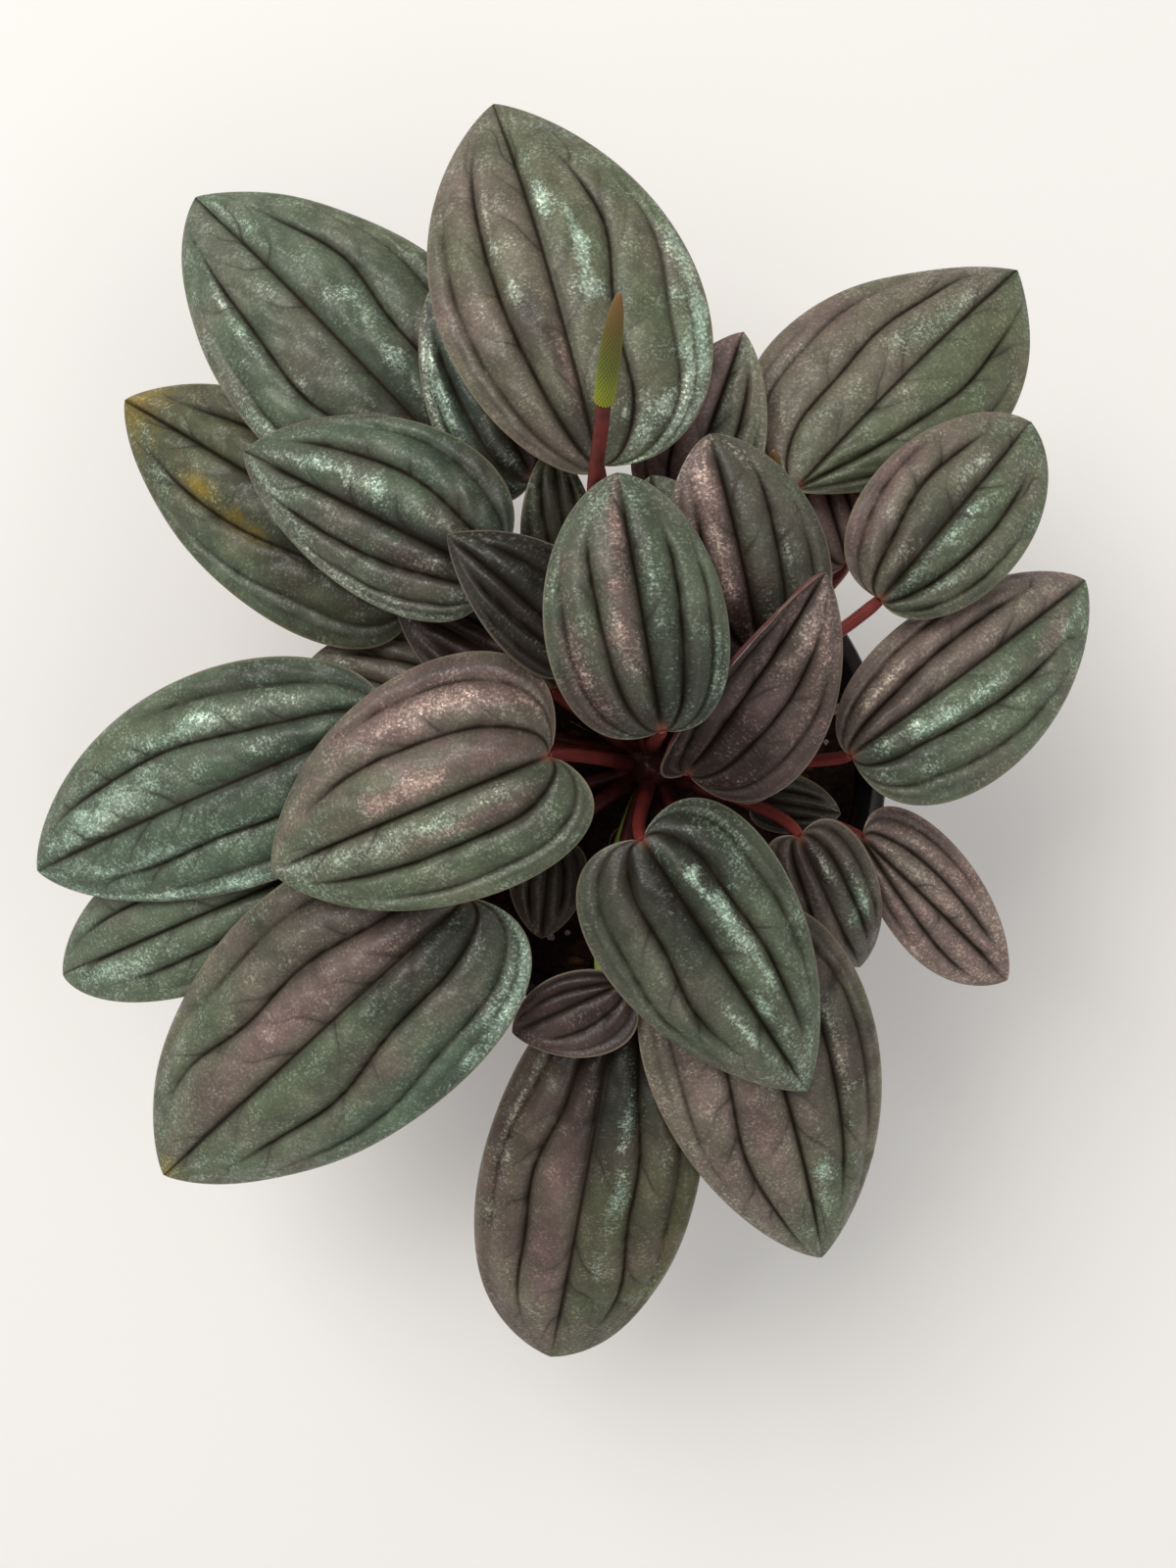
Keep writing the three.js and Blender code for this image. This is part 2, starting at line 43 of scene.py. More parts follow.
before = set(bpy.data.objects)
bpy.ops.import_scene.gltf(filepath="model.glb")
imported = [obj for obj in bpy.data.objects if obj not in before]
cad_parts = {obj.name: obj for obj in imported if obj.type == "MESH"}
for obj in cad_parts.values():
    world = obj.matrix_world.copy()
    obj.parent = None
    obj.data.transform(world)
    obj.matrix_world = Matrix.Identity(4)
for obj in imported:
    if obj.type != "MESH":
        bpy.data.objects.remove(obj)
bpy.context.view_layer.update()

MM = 0.001

# The crown and the stalks, in millimetres
CROWN = np.array([3.5, 1, 84])
CROWN_RADIUS = 6
CROWN_DEPTH = 16
CROWN_RISE = 7
STALK_FOOT = 3.4
STALK_ARRIVAL = (0.5, 0.87)
STALK_SHOULDER = 0.35
STALK_LIFT = 0.12
STALK_BEND = 9
STALK_FLARE = 1.35
STALK_SPLITS = (0.4, 0.82)

# The blades, in millimetres and in shares of the length or of the half width
DEFAULT_LOBE = 0.09
DEFAULT_FULL = 0.4
RIBS_AT_STALK = (0, 0.36, 0.74, 1)
RIBS_AT_TIP = (0, 0.56, 0.88, 1)
RIDGE_HEIGHTS = (1, 0.85, 0.5)
RIB_ENDS = (1.05, 0.88, 0.68)
BASE_FADE = 0.14
TIP_FADE = 0.3
WAVE_PACE = 14
CELL = 0.6
SIDE_VEIN_SPACING = 9.5
SIDE_VEIN_LEAN = 1.0
SIDE_VEIN_SLANT = math.hypot(1, SIDE_VEIN_LEAN)
RIB_WANDER = 0.05
GROOVE_DEPTH = 0.4
GROOVE_REACH = 0.6
SIDE_GROOVE_DEPTH = 0.28
SIDE_GROOVE_REACH = 0.55
HEART_SIZE = 1.3
MARGIN_SHARE = 0.5

# Each leaf, in millimetres and degrees: where its stalk joins it, its tip, the half widths left and
# right of its midrib, seen from above and looking to the tip, how far the midrib bows up (arch) and
# to the left (sweep) as shares of the length, how far the left side is lifted (roll), how far the
# left and right margins lift or droop (curl), how far the tip turns (twist), the depth of the ribs,
# how narrow the base is (full) and how pointed the tip, how far the lobes reach back, the ripple of
# the margin and the stalk's bow.
LEAVES = {
    "leaf_01": dict(base=(-7.5, 55, 126), tip=(-27.5, 126, 113), half=(22.5, 27.5), arch=0.1, roll=4,
                    curl=(-25, -14), rib=0.022, full=(0.68, 0.42), point=0.75, lobe=0.04),
    "leaf_02": dict(base=(-36, 60, 105), tip=(-88.5, 115, 94), half=(25, 26), arch=0.1, curl=(-22, -18),
                    rib=0.02, point=(0.62, 0.8), wave=0.008),
    "leaf_03": dict(base=(-44, 38, 99), tip=(-105.5, 76.5, 84), half=(23, 20), arch=0.09,
                    curl=(-20, -15), rib=0.016, point=0.75, wave=0.006),
    "leaf_04": dict(bow=(4, 3, 0), base=(-28, 36, 119), tip=(-76, 61, 108), half=(15.8, 20.5),
                    arch=0.06, roll=-6, curl=(-32, -18), rib=0.03, point=0.7, lobe=0.04),
    "leaf_05": dict(base=(-20, 55, 114), tip=(-39, 92, 112), half=(13, 12), arch=0.05, curl=(-15, -15),
                    rib=0.025, point=0.75, twist=6),
    "leaf_06": dict(base=(-13, 37, 110), tip=(-16.5, 61, 116), half=(8.5, 6.5), arch=0.05,
                    curl=(14, 14), rib=0.03, point=0.8),
    "leaf_07": dict(base=(-11, 21, 125), tip=(-35, 42, 128), half=(10, 13), arch=0.08, roll=10,
                    curl=(-45, -14), rib=0.04, point=0.8),
    "leaf_08": dict(base=(3.3, 6.5, 138), tip=(-4.7, 51, 140), half=(18, 15.5), arch=0.09,
                    curl=(-26, -30), rib=0.04, point=0.55, lobe=0.06),
    "leaf_09": dict(base=(10, 26, 111), tip=(2, 54, 121), half=(10, 13), arch=0.06, curl=(-15, -15),
                    rib=0.03, point=0.65),
    "leaf_10": dict(base=(22.5, 22, 119), tip=(12.5, 60.5, 127), half=(14, 17.5), arch=0.07, roll=4,
                    curl=(-12, -24), rib=0.042, point=0.62),
    "leaf_11": dict(base=(9, -1, 118), tip=(32.7, 34.5, 133), half=(13, 18), arch=0.04, roll=24,
                    curl=(68, 14), rib=0.035, point=0.8, lobe=0.06),
    "leaf_12": dict(base=(15, -2, 107), tip=(36, 24, 113), half=(11, 11), arch=0.08, curl=(10, -10),
                    rib=0.03, point=0.8),
    "leaf_13": dict(base=(31, 54.5, 107), tip=(76.5, 100, 95), half=(25, 21), arch=0.1, roll=-6,
                    curl=(-24, -24), rib=0.014, full=(0.4, 0.95), point=0.85, lobe=0.03, wave=0.006),
    "leaf_14": dict(base=(9, 52, 105), tip=(20, 83, 112), half=(13, 12), arch=0.04, curl=(12, 12),
                    rib=0.025, point=0.8),
    "leaf_15": dict(base=(45, 31.5, 118), tip=(75.5, 66.5, 109), half=(16.5, 15.5), arch=0.06,
                    curl=(-18, -18), rib=0.038, full=(0.4, 0.5), point=0.55, lobe=0.03, bow=(0, 0, 4)),
    "leaf_16": dict(base=(40.5, 2.5, 112), tip=(88, 37, 102), half=(15, 20.5), arch=0.09,
                    curl=(-24, -16), rib=0.034, full=(0.5, 0.4), point=0.68, lobe=0.03),
    "leaf_17": dict(base=(42, 41, 98), tip=(35, 62, 100), half=(10, 8), arch=0.04, curl=(10, 10),
                    rib=0.02, point=0.8),
    "leaf_18": dict(base=(45.5, -14, 96), tip=(77, -43.5, 85), half=(12, 10.5), arch=0.06,
                    curl=(-18, -18), rib=0.02, full=(0.4, 0.9), point=(0.8, 0.6), twist=12),
    "leaf_19": dict(base=(31.5, -13.5, 106), tip=(46, -40.5, 88), half=(11, 10), arch=0.09, roll=8,
                    curl=(-16, -24), rib=0.036, point=0.7),
    "leaf_20": dict(base=(0.5, -13.5, 122), tip=(32.5, -62, 109), half=(19.8, 20), arch=0.09,
                    curl=(-24, -20), rib=0.036, point=0.8),
    "leaf_21": dict(base=(17, -30, 108), tip=(38.5, -100.5, 86), half=(22, 25), arch=0.1, sweep=0.02,
                    curl=(-22, -20), rib=0.022, point=0.75, lobe=0.04, twist=-6),
    "leaf_22": dict(base=(24, -6, 95), tip=(41, -9, 95), half=(6.5, 6), arch=0.05, curl=(-10, -10),
                    rib=0.02, point=0.7),
    "leaf_23": dict(bow=(-7, 0, 0), base=(-4, -47.5, 99), tip=(-17.5, -124, 77), half=(23, 22),
                    arch=0.1, curl=(-18, -24), rib=0.024, full=(0.4, 0.6), point=0.52, wave=0.006),
    "leaf_24": dict(bow=(-6, 0, 0), base=(-3.5, -42, 106), tip=(-24.5, -52, 101), half=(11, 7),
                    arch=0.04, curl=(14, 14), rib=0.02, full=(0.4, 0.8), point=0.8),
    "leaf_25": dict(base=(-33, -25, 111), tip=(-96.5, -83, 88), half=(26, 27.5), arch=0.1,
                    curl=(-18, -24), rib=0.026, full=(0.4, 0.5), point=(0.75, 0.68), wave=0.006),
    "leaf_26": dict(base=(-17, -15, 96), tip=(-19, -34, 94), half=(8, 8), arch=0.05, curl=(-10, -10),
                    rib=0.02, point=0.7),
    "leaf_27": dict(base=(-17, 2, 126), tip=(-69.5, -19.5, 114), half=(20, 25.5), arch=0.08,
                    curl=(-18, -24), rib=0.034, point=0.7, lobe=0.14),
    "leaf_28": dict(base=(-49, 9, 113), tip=(-121, -20.5, 92), half=(21, 23), arch=0.08,
                    curl=(-24, -18), rib=0.018, full=(0.4, 0.55), point=0.68, lobe=0.05),
    "leaf_29": dict(base=(-61.5, -18.5, 101), tip=(-118, -42.5, 85), half=(15, 16.5), arch=0.08,
                    curl=(-15, -15), rib=0.016, full=(0.4, 0.6), point=0.6, twist=8),
    "leaf_30": dict(base=(-35, 12, 95), tip=(-66, 22, 91), half=(13, 13), arch=0.05, curl=(-12, -12),
                    rib=0.018, point=0.7),
    "leaf_31": dict(base=(-17, 15.5, 103), tip=(-47, 33, 103), half=(11, 10), arch=0.06,
                    curl=(-12, -12), rib=0.025, point=0.7),
}

# The colouring of each leaf, as shares that are held between 0 and 1 once all are added up. Tone
# runs from blue-green through sage and olive to yellow. Mauve and silver are given for the left and
# the right half; the silver is partly the leaf's own silvering and partly painted highlight. The
# darkening share is painted shade with some darker pigment, and a negative one holds off the painted
# shade near the stalk. Blister is the height of the pillows between the side veins, in millimetres.
# Each patch has its middle along (0 stalk, 1 tip) and across (-1 right, 1 left), its reach along and
# across, and what it adds.
LOOKS = {
    "leaf_01": dict(tone=0.5, mauve=(0.42, 0.05), silvering_and_highlight=(0.06, 0.1), shade_and_dark_pigment=-0.05, blister=0.3, patches={
        "silvering_and_highlight": [(0.66, -0.1, 0.06, 0.05, 0.8), (0.53, -0.27, 0.09, 0.045, 0.75),
            (0.41, -0.22, 0.045, 0.055, 0.75), (0.64, 0.4, 0.11, 0.03, 0.6),
            (0.45, 0.33, 0.03, 0.06, 0.75), (0.28, -0.9, 0.17, 0.08, 0.85),
            (0.08, -0.55, 0.05, 0.16, 0.6), (0.2, 0.08, 0.12, 0.03, 0.35), (0.1, -0.85, 0.1, 0.12, 0.7),
            (0.45, -0.93, 0.1, 0.06, 0.4)],
        "mauve": [(0.2, 0.08, 0.14, 0.07, 0.6)],
        "shade_and_dark_pigment": [(0.38, 0.28, 0.09, 0.12, 0.6), (0.26, 0.14, 0.1, 0.08, 0.4)]}),
    "leaf_02": dict(tone=0.36, mauve=(0.1, 0), silvering_and_highlight=(0.08, 0.06), shade_and_dark_pigment=0.2, blister=0.5, patches={
        "silvering_and_highlight": [(0.85, -0.2, 0.12, 0.1, 0.4), (0.45, -0.3, 0.07, 0.07, 0.55),
            (0.3, -0.22, 0.07, 0.05, 0.5), (0.68, 0.55, 0.14, 0.05, 0.5), (0.38, 0.48, 0.06, 0.05, 0.4),
            (0.35, 0.92, 0.25, 0.08, 0.5)],
        "tone": [(0.6, -0.85, 0.3, 0.2, 0.12)],
        "shade_and_dark_pigment": [(0.5, -0.1, 0.3, 0.06, 0.3), (0.85, 0, 0.25, 1.2, -0.2)]}),
    "leaf_03": dict(tone=0.58, mauve=(0, 0.05), silvering_and_highlight=(0.06, 0.05), shade_and_dark_pigment=0.3, blister=0.45, patches={
        "tone": [(1.0, 0, 0.13, 1.2, 0.5), (0.62, 0.4, 0.07, 0.12, 0.4), (0.5, 0.45, 0.04, 0.07, 0.45),
            (0.42, 0.42, 0.04, 0.07, 0.45), (0.4, 0.85, 0.35, 0.2, -0.2)],
        "shade_and_dark_pigment": [(0.35, 0.1, 0.25, 0.45, 0.4)],
        "silvering_and_highlight": [(0.75, 0.55, 0.15, 0.15, 0.25)]}),
    "leaf_04": dict(tone=0.34, mauve=(0.22, 0.08), silvering_and_highlight=(0.16, 0.08), shade_and_dark_pigment=0.32, blister=0.35, patches={
        "silvering_and_highlight": [(0.7, -0.28, 0.14, 0.1, 0.55), (0.45, -0.25, 0.12, 0.1, 0.35),
            (0.78, 0.5, 0.1, 0.1, 0.65), (0.3, 0.92, 0.3, 0.08, 0.45)],
        "mauve": [(0.3, 0.25, 0.14, 0.12, 0.5)],
        "shade_and_dark_pigment": [(0.35, -0.05, 0.3, 0.1, 0.35)],
        "tone": [(0.35, -0.85, 0.3, 0.2, -0.15)]}),
    "leaf_05": dict(tone=0.1, mauve=(0.2, 0.9), silvering_and_highlight=(0.1, 0.05), shade_and_dark_pigment=0.55, blister=0.2, patches={
        "silvering_and_highlight": [(0.5, 0.8, 0.35, 0.14, 0.8), (0.7, 0.3, 0.15, 0.1, 0.4)]}),
    "leaf_06": dict(tone=0.55, mauve=(0.1, 0.05), silvering_and_highlight=(0.02, 0.05), shade_and_dark_pigment=0.6, blister=0.1, patches={
        "shade_and_dark_pigment": [(0.5, -0.6, 0.5, 0.3, -0.3)]}),
    "leaf_07": dict(tone=0.45, mauve=(0.4, 0.15), silvering_and_highlight=(0.02, 0.06), shade_and_dark_pigment=1.05, blister=0.15, patches={
        "silvering_and_highlight": [(0.2, 0.4, 0.1, 0.2, 0.35)],
        "shade_and_dark_pigment": [(0.25, -0.5, 0.2, 0.4, -0.3)]}),
    "leaf_08": dict(tone=0.4, mauve=(0.12, 0), silvering_and_highlight=(0.12, 0.1), shade_and_dark_pigment=0.42, blister=0.2, patches={
        "mauve": [(0.8, 0.12, 0.18, 0.12, 0.9), (0.42, 0.2, 0.2, 0.12, 0.7),
            (0.3, 0.75, 0.22, 0.14, 0.95), (0.12, 0.9, 0.1, 0.3, 0.8)],
        "silvering_and_highlight": [(0.8, 0.12, 0.18, 0.08, 0.35), (0.42, 0.26, 0.08, 0.07, 0.6),
            (0.3, 0.75, 0.2, 0.1, 0.45), (0.2, -0.85, 0.16, 0.1, 0.5), (0.6, -0.2, 0.25, 0.12, 0.2)],
        "tone": [(0.2, -0.8, 0.25, 0.3, -0.12)]}),
    "leaf_09": dict(tone=0.4, mauve=(0.1, 0.2), silvering_and_highlight=(0.05, 0.1), shade_and_dark_pigment=0, blister=0.2, patches={}),
    "leaf_10": dict(tone=0.4, mauve=(0.9, 0.25), silvering_and_highlight=(0.18, 0.06), shade_and_dark_pigment=0.54, blister=0.3, patches={
        "silvering_and_highlight": [(0.55, 0.3, 0.3, 0.12, 0.35), (0.5, -0.48, 0.3, 0.04, 0.4)],
        "shade_and_dark_pigment": [(0.6, 0.4, 0.3, 0.2, -0.25), (0.5, -0.75, 0.4, 0.15, -0.2)]}),
    "leaf_11": dict(tone=0.4, mauve=(1, 0.95), silvering_and_highlight=(0.08, 0.1), shade_and_dark_pigment=0.67, blister=0.2, patches={
        "silvering_and_highlight": [(0.8, -0.3, 0.15, 0.3, 0.4)],
        "shade_and_dark_pigment": [(0.85, -0.3, 0.2, 0.4, -0.3), (0.15, -0.2, 0.2, 0.4, 0.35),
            (0.5, 0.85, 0.6, 0.3, 0.5)]}),
    "leaf_12": dict(tone=0.5, mauve=(1, 1), silvering_and_highlight=(0, 0), shade_and_dark_pigment=0.66, blister=0.1, patches={}),
    "leaf_13": dict(tone=0.5, mauve=(0.35, 0.05), silvering_and_highlight=(0.12, 0.08), shade_and_dark_pigment=-0.3, blister=0.25, patches={
        "mauve": [(0.35, 0.85, 0.3, 0.18, 0.5)],
        "silvering_and_highlight": [(0.75, 0.15, 0.14, 0.12, 0.4), (0.55, 0.22, 0.08, 0.1, 0.35)],
        "tone": [(0.85, -0.4, 0.2, 0.5, 0.08)]}),
    "leaf_14": dict(tone=0.45, mauve=(1, 0.3), silvering_and_highlight=(0.02, 0.12), shade_and_dark_pigment=-0.45, blister=0.15, patches={
        "shade_and_dark_pigment": [(0.4, 0.5, 0.5, 0.4, 0.4), (0.7, -0.7, 0.4, 0.4, -0.35)],
        "silvering_and_highlight": [(0.6, -0.1, 0.3, 0.08, 0.5)]}),
    "leaf_15": dict(tone=0.47, mauve=(0.4, 0.1), silvering_and_highlight=(0.1, 0.14), shade_and_dark_pigment=0.08, blister=0.55, patches={
        "mauve": [(0.3, 0.85, 0.4, 0.2, 0.6)],
        "silvering_and_highlight": [(0.45, -0.15, 0.1, 0.08, 0.6), (0.25, -0.5, 0.12, 0.1, 0.5),
            (0.62, 0.2, 0.08, 0.08, 0.5), (0.2, -0.1, 0.08, 0.08, 0.5)],
        "shade_and_dark_pigment": [(0.35, 0.12, 0.2, 0.12, 0.45)]}),
    "leaf_16": dict(tone=0.42, mauve=(0.75, 0.05), silvering_and_highlight=(0.1, 0.14), shade_and_dark_pigment=0.02, blister=0.35, patches={
        "silvering_and_highlight": [(0.25, -0.22, 0.12, 0.07, 0.5), (0.46, -0.22, 0.09, 0.06, 0.5),
            (0.8, -0.4, 0.08, 0.08, 0.4), (0.2, 0.6, 0.12, 0.12, 0.35), (0.6, 0.45, 0.12, 0.08, 0.35)],
        "mauve": [(0.75, -0.32, 0.14, 0.16, 0.7)],
        "shade_and_dark_pigment": [(0.3, -0.45, 0.2, 0.06, 0.4), (0.5, 0.6, 0.3, 0.3, -0.3)]}),
    "leaf_17": dict(tone=0.5, mauve=(1, 1), silvering_and_highlight=(0, 0), shade_and_dark_pigment=-0.12, blister=0.1, patches={}),
    "leaf_18": dict(tone=0.4, mauve=(0.9, 0.95), silvering_and_highlight=(0.3, 0.26), shade_and_dark_pigment=-0.25, blister=0.12, patches={
        "shade_and_dark_pigment": [(0.3, 0.8, 0.3, 0.2, 0.3)]}),
    "leaf_19": dict(tone=0.4, mauve=(0.5, 0.8), silvering_and_highlight=(0.06, 0.04), shade_and_dark_pigment=0.47, blister=0.2, patches={
        "silvering_and_highlight": [(0.52, 0.5, 0.13, 0.2, 0.9), (0.2, 0.2, 0.1, 0.1, 0.5)],
        "mauve": [(0.5, 0.5, 0.2, 0.25, -0.6)]}),
    "leaf_20": dict(tone=0.42, mauve=(0, 0.12), silvering_and_highlight=(0.1, 0.04), shade_and_dark_pigment=0.4, blister=0.3, patches={
        "silvering_and_highlight": [(0.2, 0.2, 0.07, 0.06, 0.7), (0.35, 0.28, 0.09, 0.07, 0.65),
            (0.52, 0.33, 0.09, 0.06, 0.65), (0.62, -0.24, 0.08, 0.06, 0.6),
            (0.73, -0.22, 0.06, 0.05, 0.7), (0.64, 0.12, 0.08, 0.06, 0.6), (0.95, 0, 0.12, 0.6, 0.4),
            (0.15, 0.8, 0.2, 0.2, 0.2)],
        "shade_and_dark_pigment": [(0.2, -0.15, 0.2, 0.2, 0.4), (0.85, 0, 0.25, 1.2, -0.25)]}),
    "leaf_21": dict(tone=0.5, mauve=(0.45, 0.6), silvering_and_highlight=(0.04, 0.16), shade_and_dark_pigment=0.12, blister=0.3, patches={
        "mauve": [(0.5, -0.25, 0.25, 0.15, 0.5), (0.75, 0.3, 0.15, 0.4, -0.5),
            (0.95, 0, 0.15, 0.8, -0.4)],
        "shade_and_dark_pigment": [(0.35, 0.3, 0.25, 0.5, 0.55), (0.35, 0.8, 0.25, 0.15, 0.3)],
        "silvering_and_highlight": [(0.72, 0.2, 0.12, 0.13, 0.45), (0.4, 0.56, 0.16, 0.05, 0.5)]}),
    "leaf_22": dict(tone=0.55, mauve=(0.4, 0.4), silvering_and_highlight=(0, 0), shade_and_dark_pigment=0.7, blister=0.1, patches={}),
    "leaf_23": dict(tone=0.58, mauve=(0.12, 0.5), silvering_and_highlight=(0.05, 0.05), shade_and_dark_pigment=0.52, blister=0.35, patches={
        "mauve": [(0.5, -0.25, 0.35, 0.16, 0.5)],
        "silvering_and_highlight": [(0.38, -0.82, 0.2, 0.07, 0.45), (0.25, 0.3, 0.07, 0.07, 0.35),
            (0.45, 0.3, 0.06, 0.09, 0.45), (0.63, 0.25, 0.06, 0.08, 0.35)],
        "tone": [(0.4, 0.9, 0.4, 0.25, 0.08)],
        "shade_and_dark_pigment": [(0.12, 0, 0.14, 0.9, 0.3), (0.85, 0, 0.3, 1.2, -0.25)]}),
    "leaf_24": dict(tone=0.3, mauve=(1, 1), silvering_and_highlight=(0.05, 0.02), shade_and_dark_pigment=0.95, blister=0.12, patches={
        "tone": [(0.4, 0.6, 0.5, 0.4, -0.3)]}),
    "leaf_25": dict(tone=0.45, mauve=(0.2, 0.6), silvering_and_highlight=(0.1, 0.1), shade_and_dark_pigment=0.1, blister=0.35, patches={
        "mauve": [(0.35, -0.25, 0.3, 0.16, 0.5), (0.75, -0.7, 0.3, 0.3, -0.5), (0.3, 0.9, 0.4, 0.2, -0.4),
            (1.0, 0, 0.12, 1.0, -0.5)],
        "shade_and_dark_pigment": [(0.2, -0.7, 0.25, 0.3, 0.4), (0.15, 0.2, 0.2, 0.3, 0.35)],
        "silvering_and_highlight": [(0.12, 0.92, 0.14, 0.1, 0.9)],
        "tone": [(0.3, 0.85, 0.35, 0.2, -0.25), (1.0, 0, 0.07, 1.0, 0.4)]}),
    "leaf_26": dict(tone=0.6, mauve=(0.5, 0.5), silvering_and_highlight=(0, 0), shade_and_dark_pigment=0.75, blister=0.1, patches={}),
    "leaf_27": dict(tone=0.45, mauve=(0.05, 0.35), silvering_and_highlight=(0.14, 0.06), shade_and_dark_pigment=0.06, blister=0.35, patches={
        "mauve": [(0.35, -0.75, 0.35, 0.28, 0.95), (0.2, -0.2, 0.16, 0.16, 0.8),
            (0.4, -0.16, 0.07, 0.08, 1), (0.53, -0.14, 0.07, 0.08, 1), (0.3, 0.3, 0.25, 0.06, 0.6)],
        "silvering_and_highlight": [(0.3, -0.68, 0.3, 0.14, 0.45), (0.4, -0.17, 0.06, 0.06, 0.8),
            (0.53, -0.14, 0.07, 0.06, 0.7), (0.9, 0.12, 0.08, 0.16, 0.6), (0.55, 0.22, 0.25, 0.12, 0.35)],
        "shade_and_dark_pigment": [(0.3, -0.9, 0.35, 0.1, 0.3), (0.6, 0.2, 0.3, 0.2, -0.25)]}),
    "leaf_28": dict(tone=0.27, mauve=(0, 0), silvering_and_highlight=(0.14, 0.1), shade_and_dark_pigment=-0.02, blister=0.35, patches={
        "silvering_and_highlight": [(0.5, -0.55, 0.25, 0.1, 0.5), (0.7, -0.25, 0.16, 0.12, 0.75),
            (0.85, -0.1, 0.08, 0.2, 0.5), (0.6, 0.45, 0.3, 0.1, 0.55), (0.55, 0.92, 0.35, 0.06, 0.6)],
        "shade_and_dark_pigment": [(0.3, -0.85, 0.3, 0.15, 0.4), (0.25, 0.1, 0.25, 0.4, 0.3)],
        "tone": [(0.6, -0.8, 0.4, 0.2, 0.2)]}),
    "leaf_29": dict(tone=0.4, mauve=(0, 0), silvering_and_highlight=(0.1, 0.06), shade_and_dark_pigment=-0.1, blister=0.25, patches={
        "silvering_and_highlight": [(0.75, 0.3, 0.2, 0.3, 0.4)],
        "shade_and_dark_pigment": [(0.4, -0.5, 0.4, 0.4, 0.25)]}),
    "leaf_30": dict(tone=0.5, mauve=(0.4, 0.3), silvering_and_highlight=(0.1, 0.05), shade_and_dark_pigment=0.3, blister=0.2, patches={
        "silvering_and_highlight": [(0.4, 0.4, 0.2, 0.2, 0.5)]}),
    "leaf_31": dict(tone=0.5, mauve=(0.9, 0.9), silvering_and_highlight=(0, 0), shade_and_dark_pigment=1.1, blister=0.15, patches={}),
}

# Each flower spike, in millimetres: the points of its stalk, the point it reaches and its radius
SPIKES = {
    "flower_spike_1": dict(stalk=((3, 2, 88), (-4, 24, 110), (-8.5, 44, 129), (-7, 61, 149)),
                           tip=(-4.7, 74, 168), radius=1.9),
    "flower_spike_2": dict(stalk=((6, 3, 87), (16, 24, 95), (26, 46, 104), (26.3, 55, 113)),
                           tip=(24.5, 58.5, 122), radius=1.2),
}
SPIKE_STALK = 0.72
SPIKE_BEND = 0.8
FLORET = 0.6
FLORET_HEIGHT = 0.09

# A stalk that has lost its leaf, and the leaf whose stalk is green
BARE_STALK = ((5, 2, 86), (28, 8, 97), (46, 14, 101), (55, 17, 101))
BARE_STALK_RADIUS = 0.9
GREEN_STALK = "leaf_23"
SINK_IN_BLADE = 0.85

# The pot and the soil in it, in millimetres
RING_POINTS = 128
FOOT_RADIUS = 37.5
RIM_RADIUS = 52
RIM_STEP = 3.4
RIM_BAND = 9
SHOULDER = 79
WALL = 1.8
DRAINS = 6
DRAIN_RADIUS = 4.2
DRAIN_CIRCLE = 25
SOIL_FOOT = 2.7
SOIL_LEVEL = 79
SOIL_GAP = 0.3
SOIL_RINGS = 44

# The camera looks straight down from this place, in millimetres. Each light has its place and its
# width in metres, and its share of the key light's power.
CAMERA_PLACE = (-9.6, -3.0)
LIGHTS = (((-0.55, 0.6, 1.25), 0.9, 1), ((0.7, -0.5, 1.3), 1.2, 0.35))
LIGHT_COLOUR = (1.0, 0.965, 0.91)


def linear(hex_colour):
    """An sRGB hex colour as the linear values that a shader takes."""
    parts = [int(hex_colour[i:i + 2], 16) / 255 for i in (1, 3, 5)]
    return tuple(c / 12.92 if c <= 0.04045 else ((c + 0.055) / 1.055) ** 2.4 for c in parts)


def per_metre(millimetres):
    """The scale of a pattern whose repeat is that long, in Object coordinates."""
    return 1 / (millimetres * MM)


def length(name, description, millimetres):
    """A size in the sidebar."""
    return bpy.props.FloatProperty(name=name, description=description, default=millimetres * MM,
                                   min=0, unit="LENGTH", subtype="DISTANCE", precision=4)


def colour(name, description, hex_colour):
    """A colour in the sidebar."""
    return bpy.props.FloatVectorProperty(name=name, description=description, size=3, min=0, max=1,
                                         default=linear(hex_colour), subtype="COLOR")


class PeperomiaLeafSettings(bpy.types.PropertyGroup):
    """Thickness and colours of the leaves."""
    blade: length("Blade", "Thickness of a leaf in the middle", 0.9)
    blue_green: colour("Blue-green", "Coolest green of a leaf", "#3f5c4c")
    sage: colour("Sage", "Common green of a leaf", "#5c6753")
    olive: colour("Olive", "Green of an ageing leaf", "#5a5c40")
    yellow: colour("Yellow", "Where a leaf starts to die back", "#8a7628")
    mauve: colour("Mauve", "Where the red of the underside shows through", "#796560")
    # The two silver colours stand for the leaf's own silvering and also for painted highlights
    mint_silver_and_highlight: colour("Silver on green", "Air-filled skin over green", "#98ae9c")
    rose_silver_and_highlight: colour("Silver on mauve", "Air-filled skin over mauve", "#a99387")
    # The deep green and deep maroon stand for painted shade as well as dark pigment
    shade: colour("Deep green", "Dark parts of a green leaf", "#191b12")
    maroon: colour("Deep maroon", "Dark parts of a mauve leaf", "#2b1712")
    # The vein colour is also painted as shade into the creases beside the veins
    vein: colour("Vein", "Bottom of the sunken veins", "#211b14")
    margin: colour("Margin", "Thin line round a leaf", "#7f7462")
    heart: colour("Heart", "Spot over the end of the stalk", "#5f3b2d")
    underside: colour("Underside", "Lower skin of a leaf", "#643a3a")


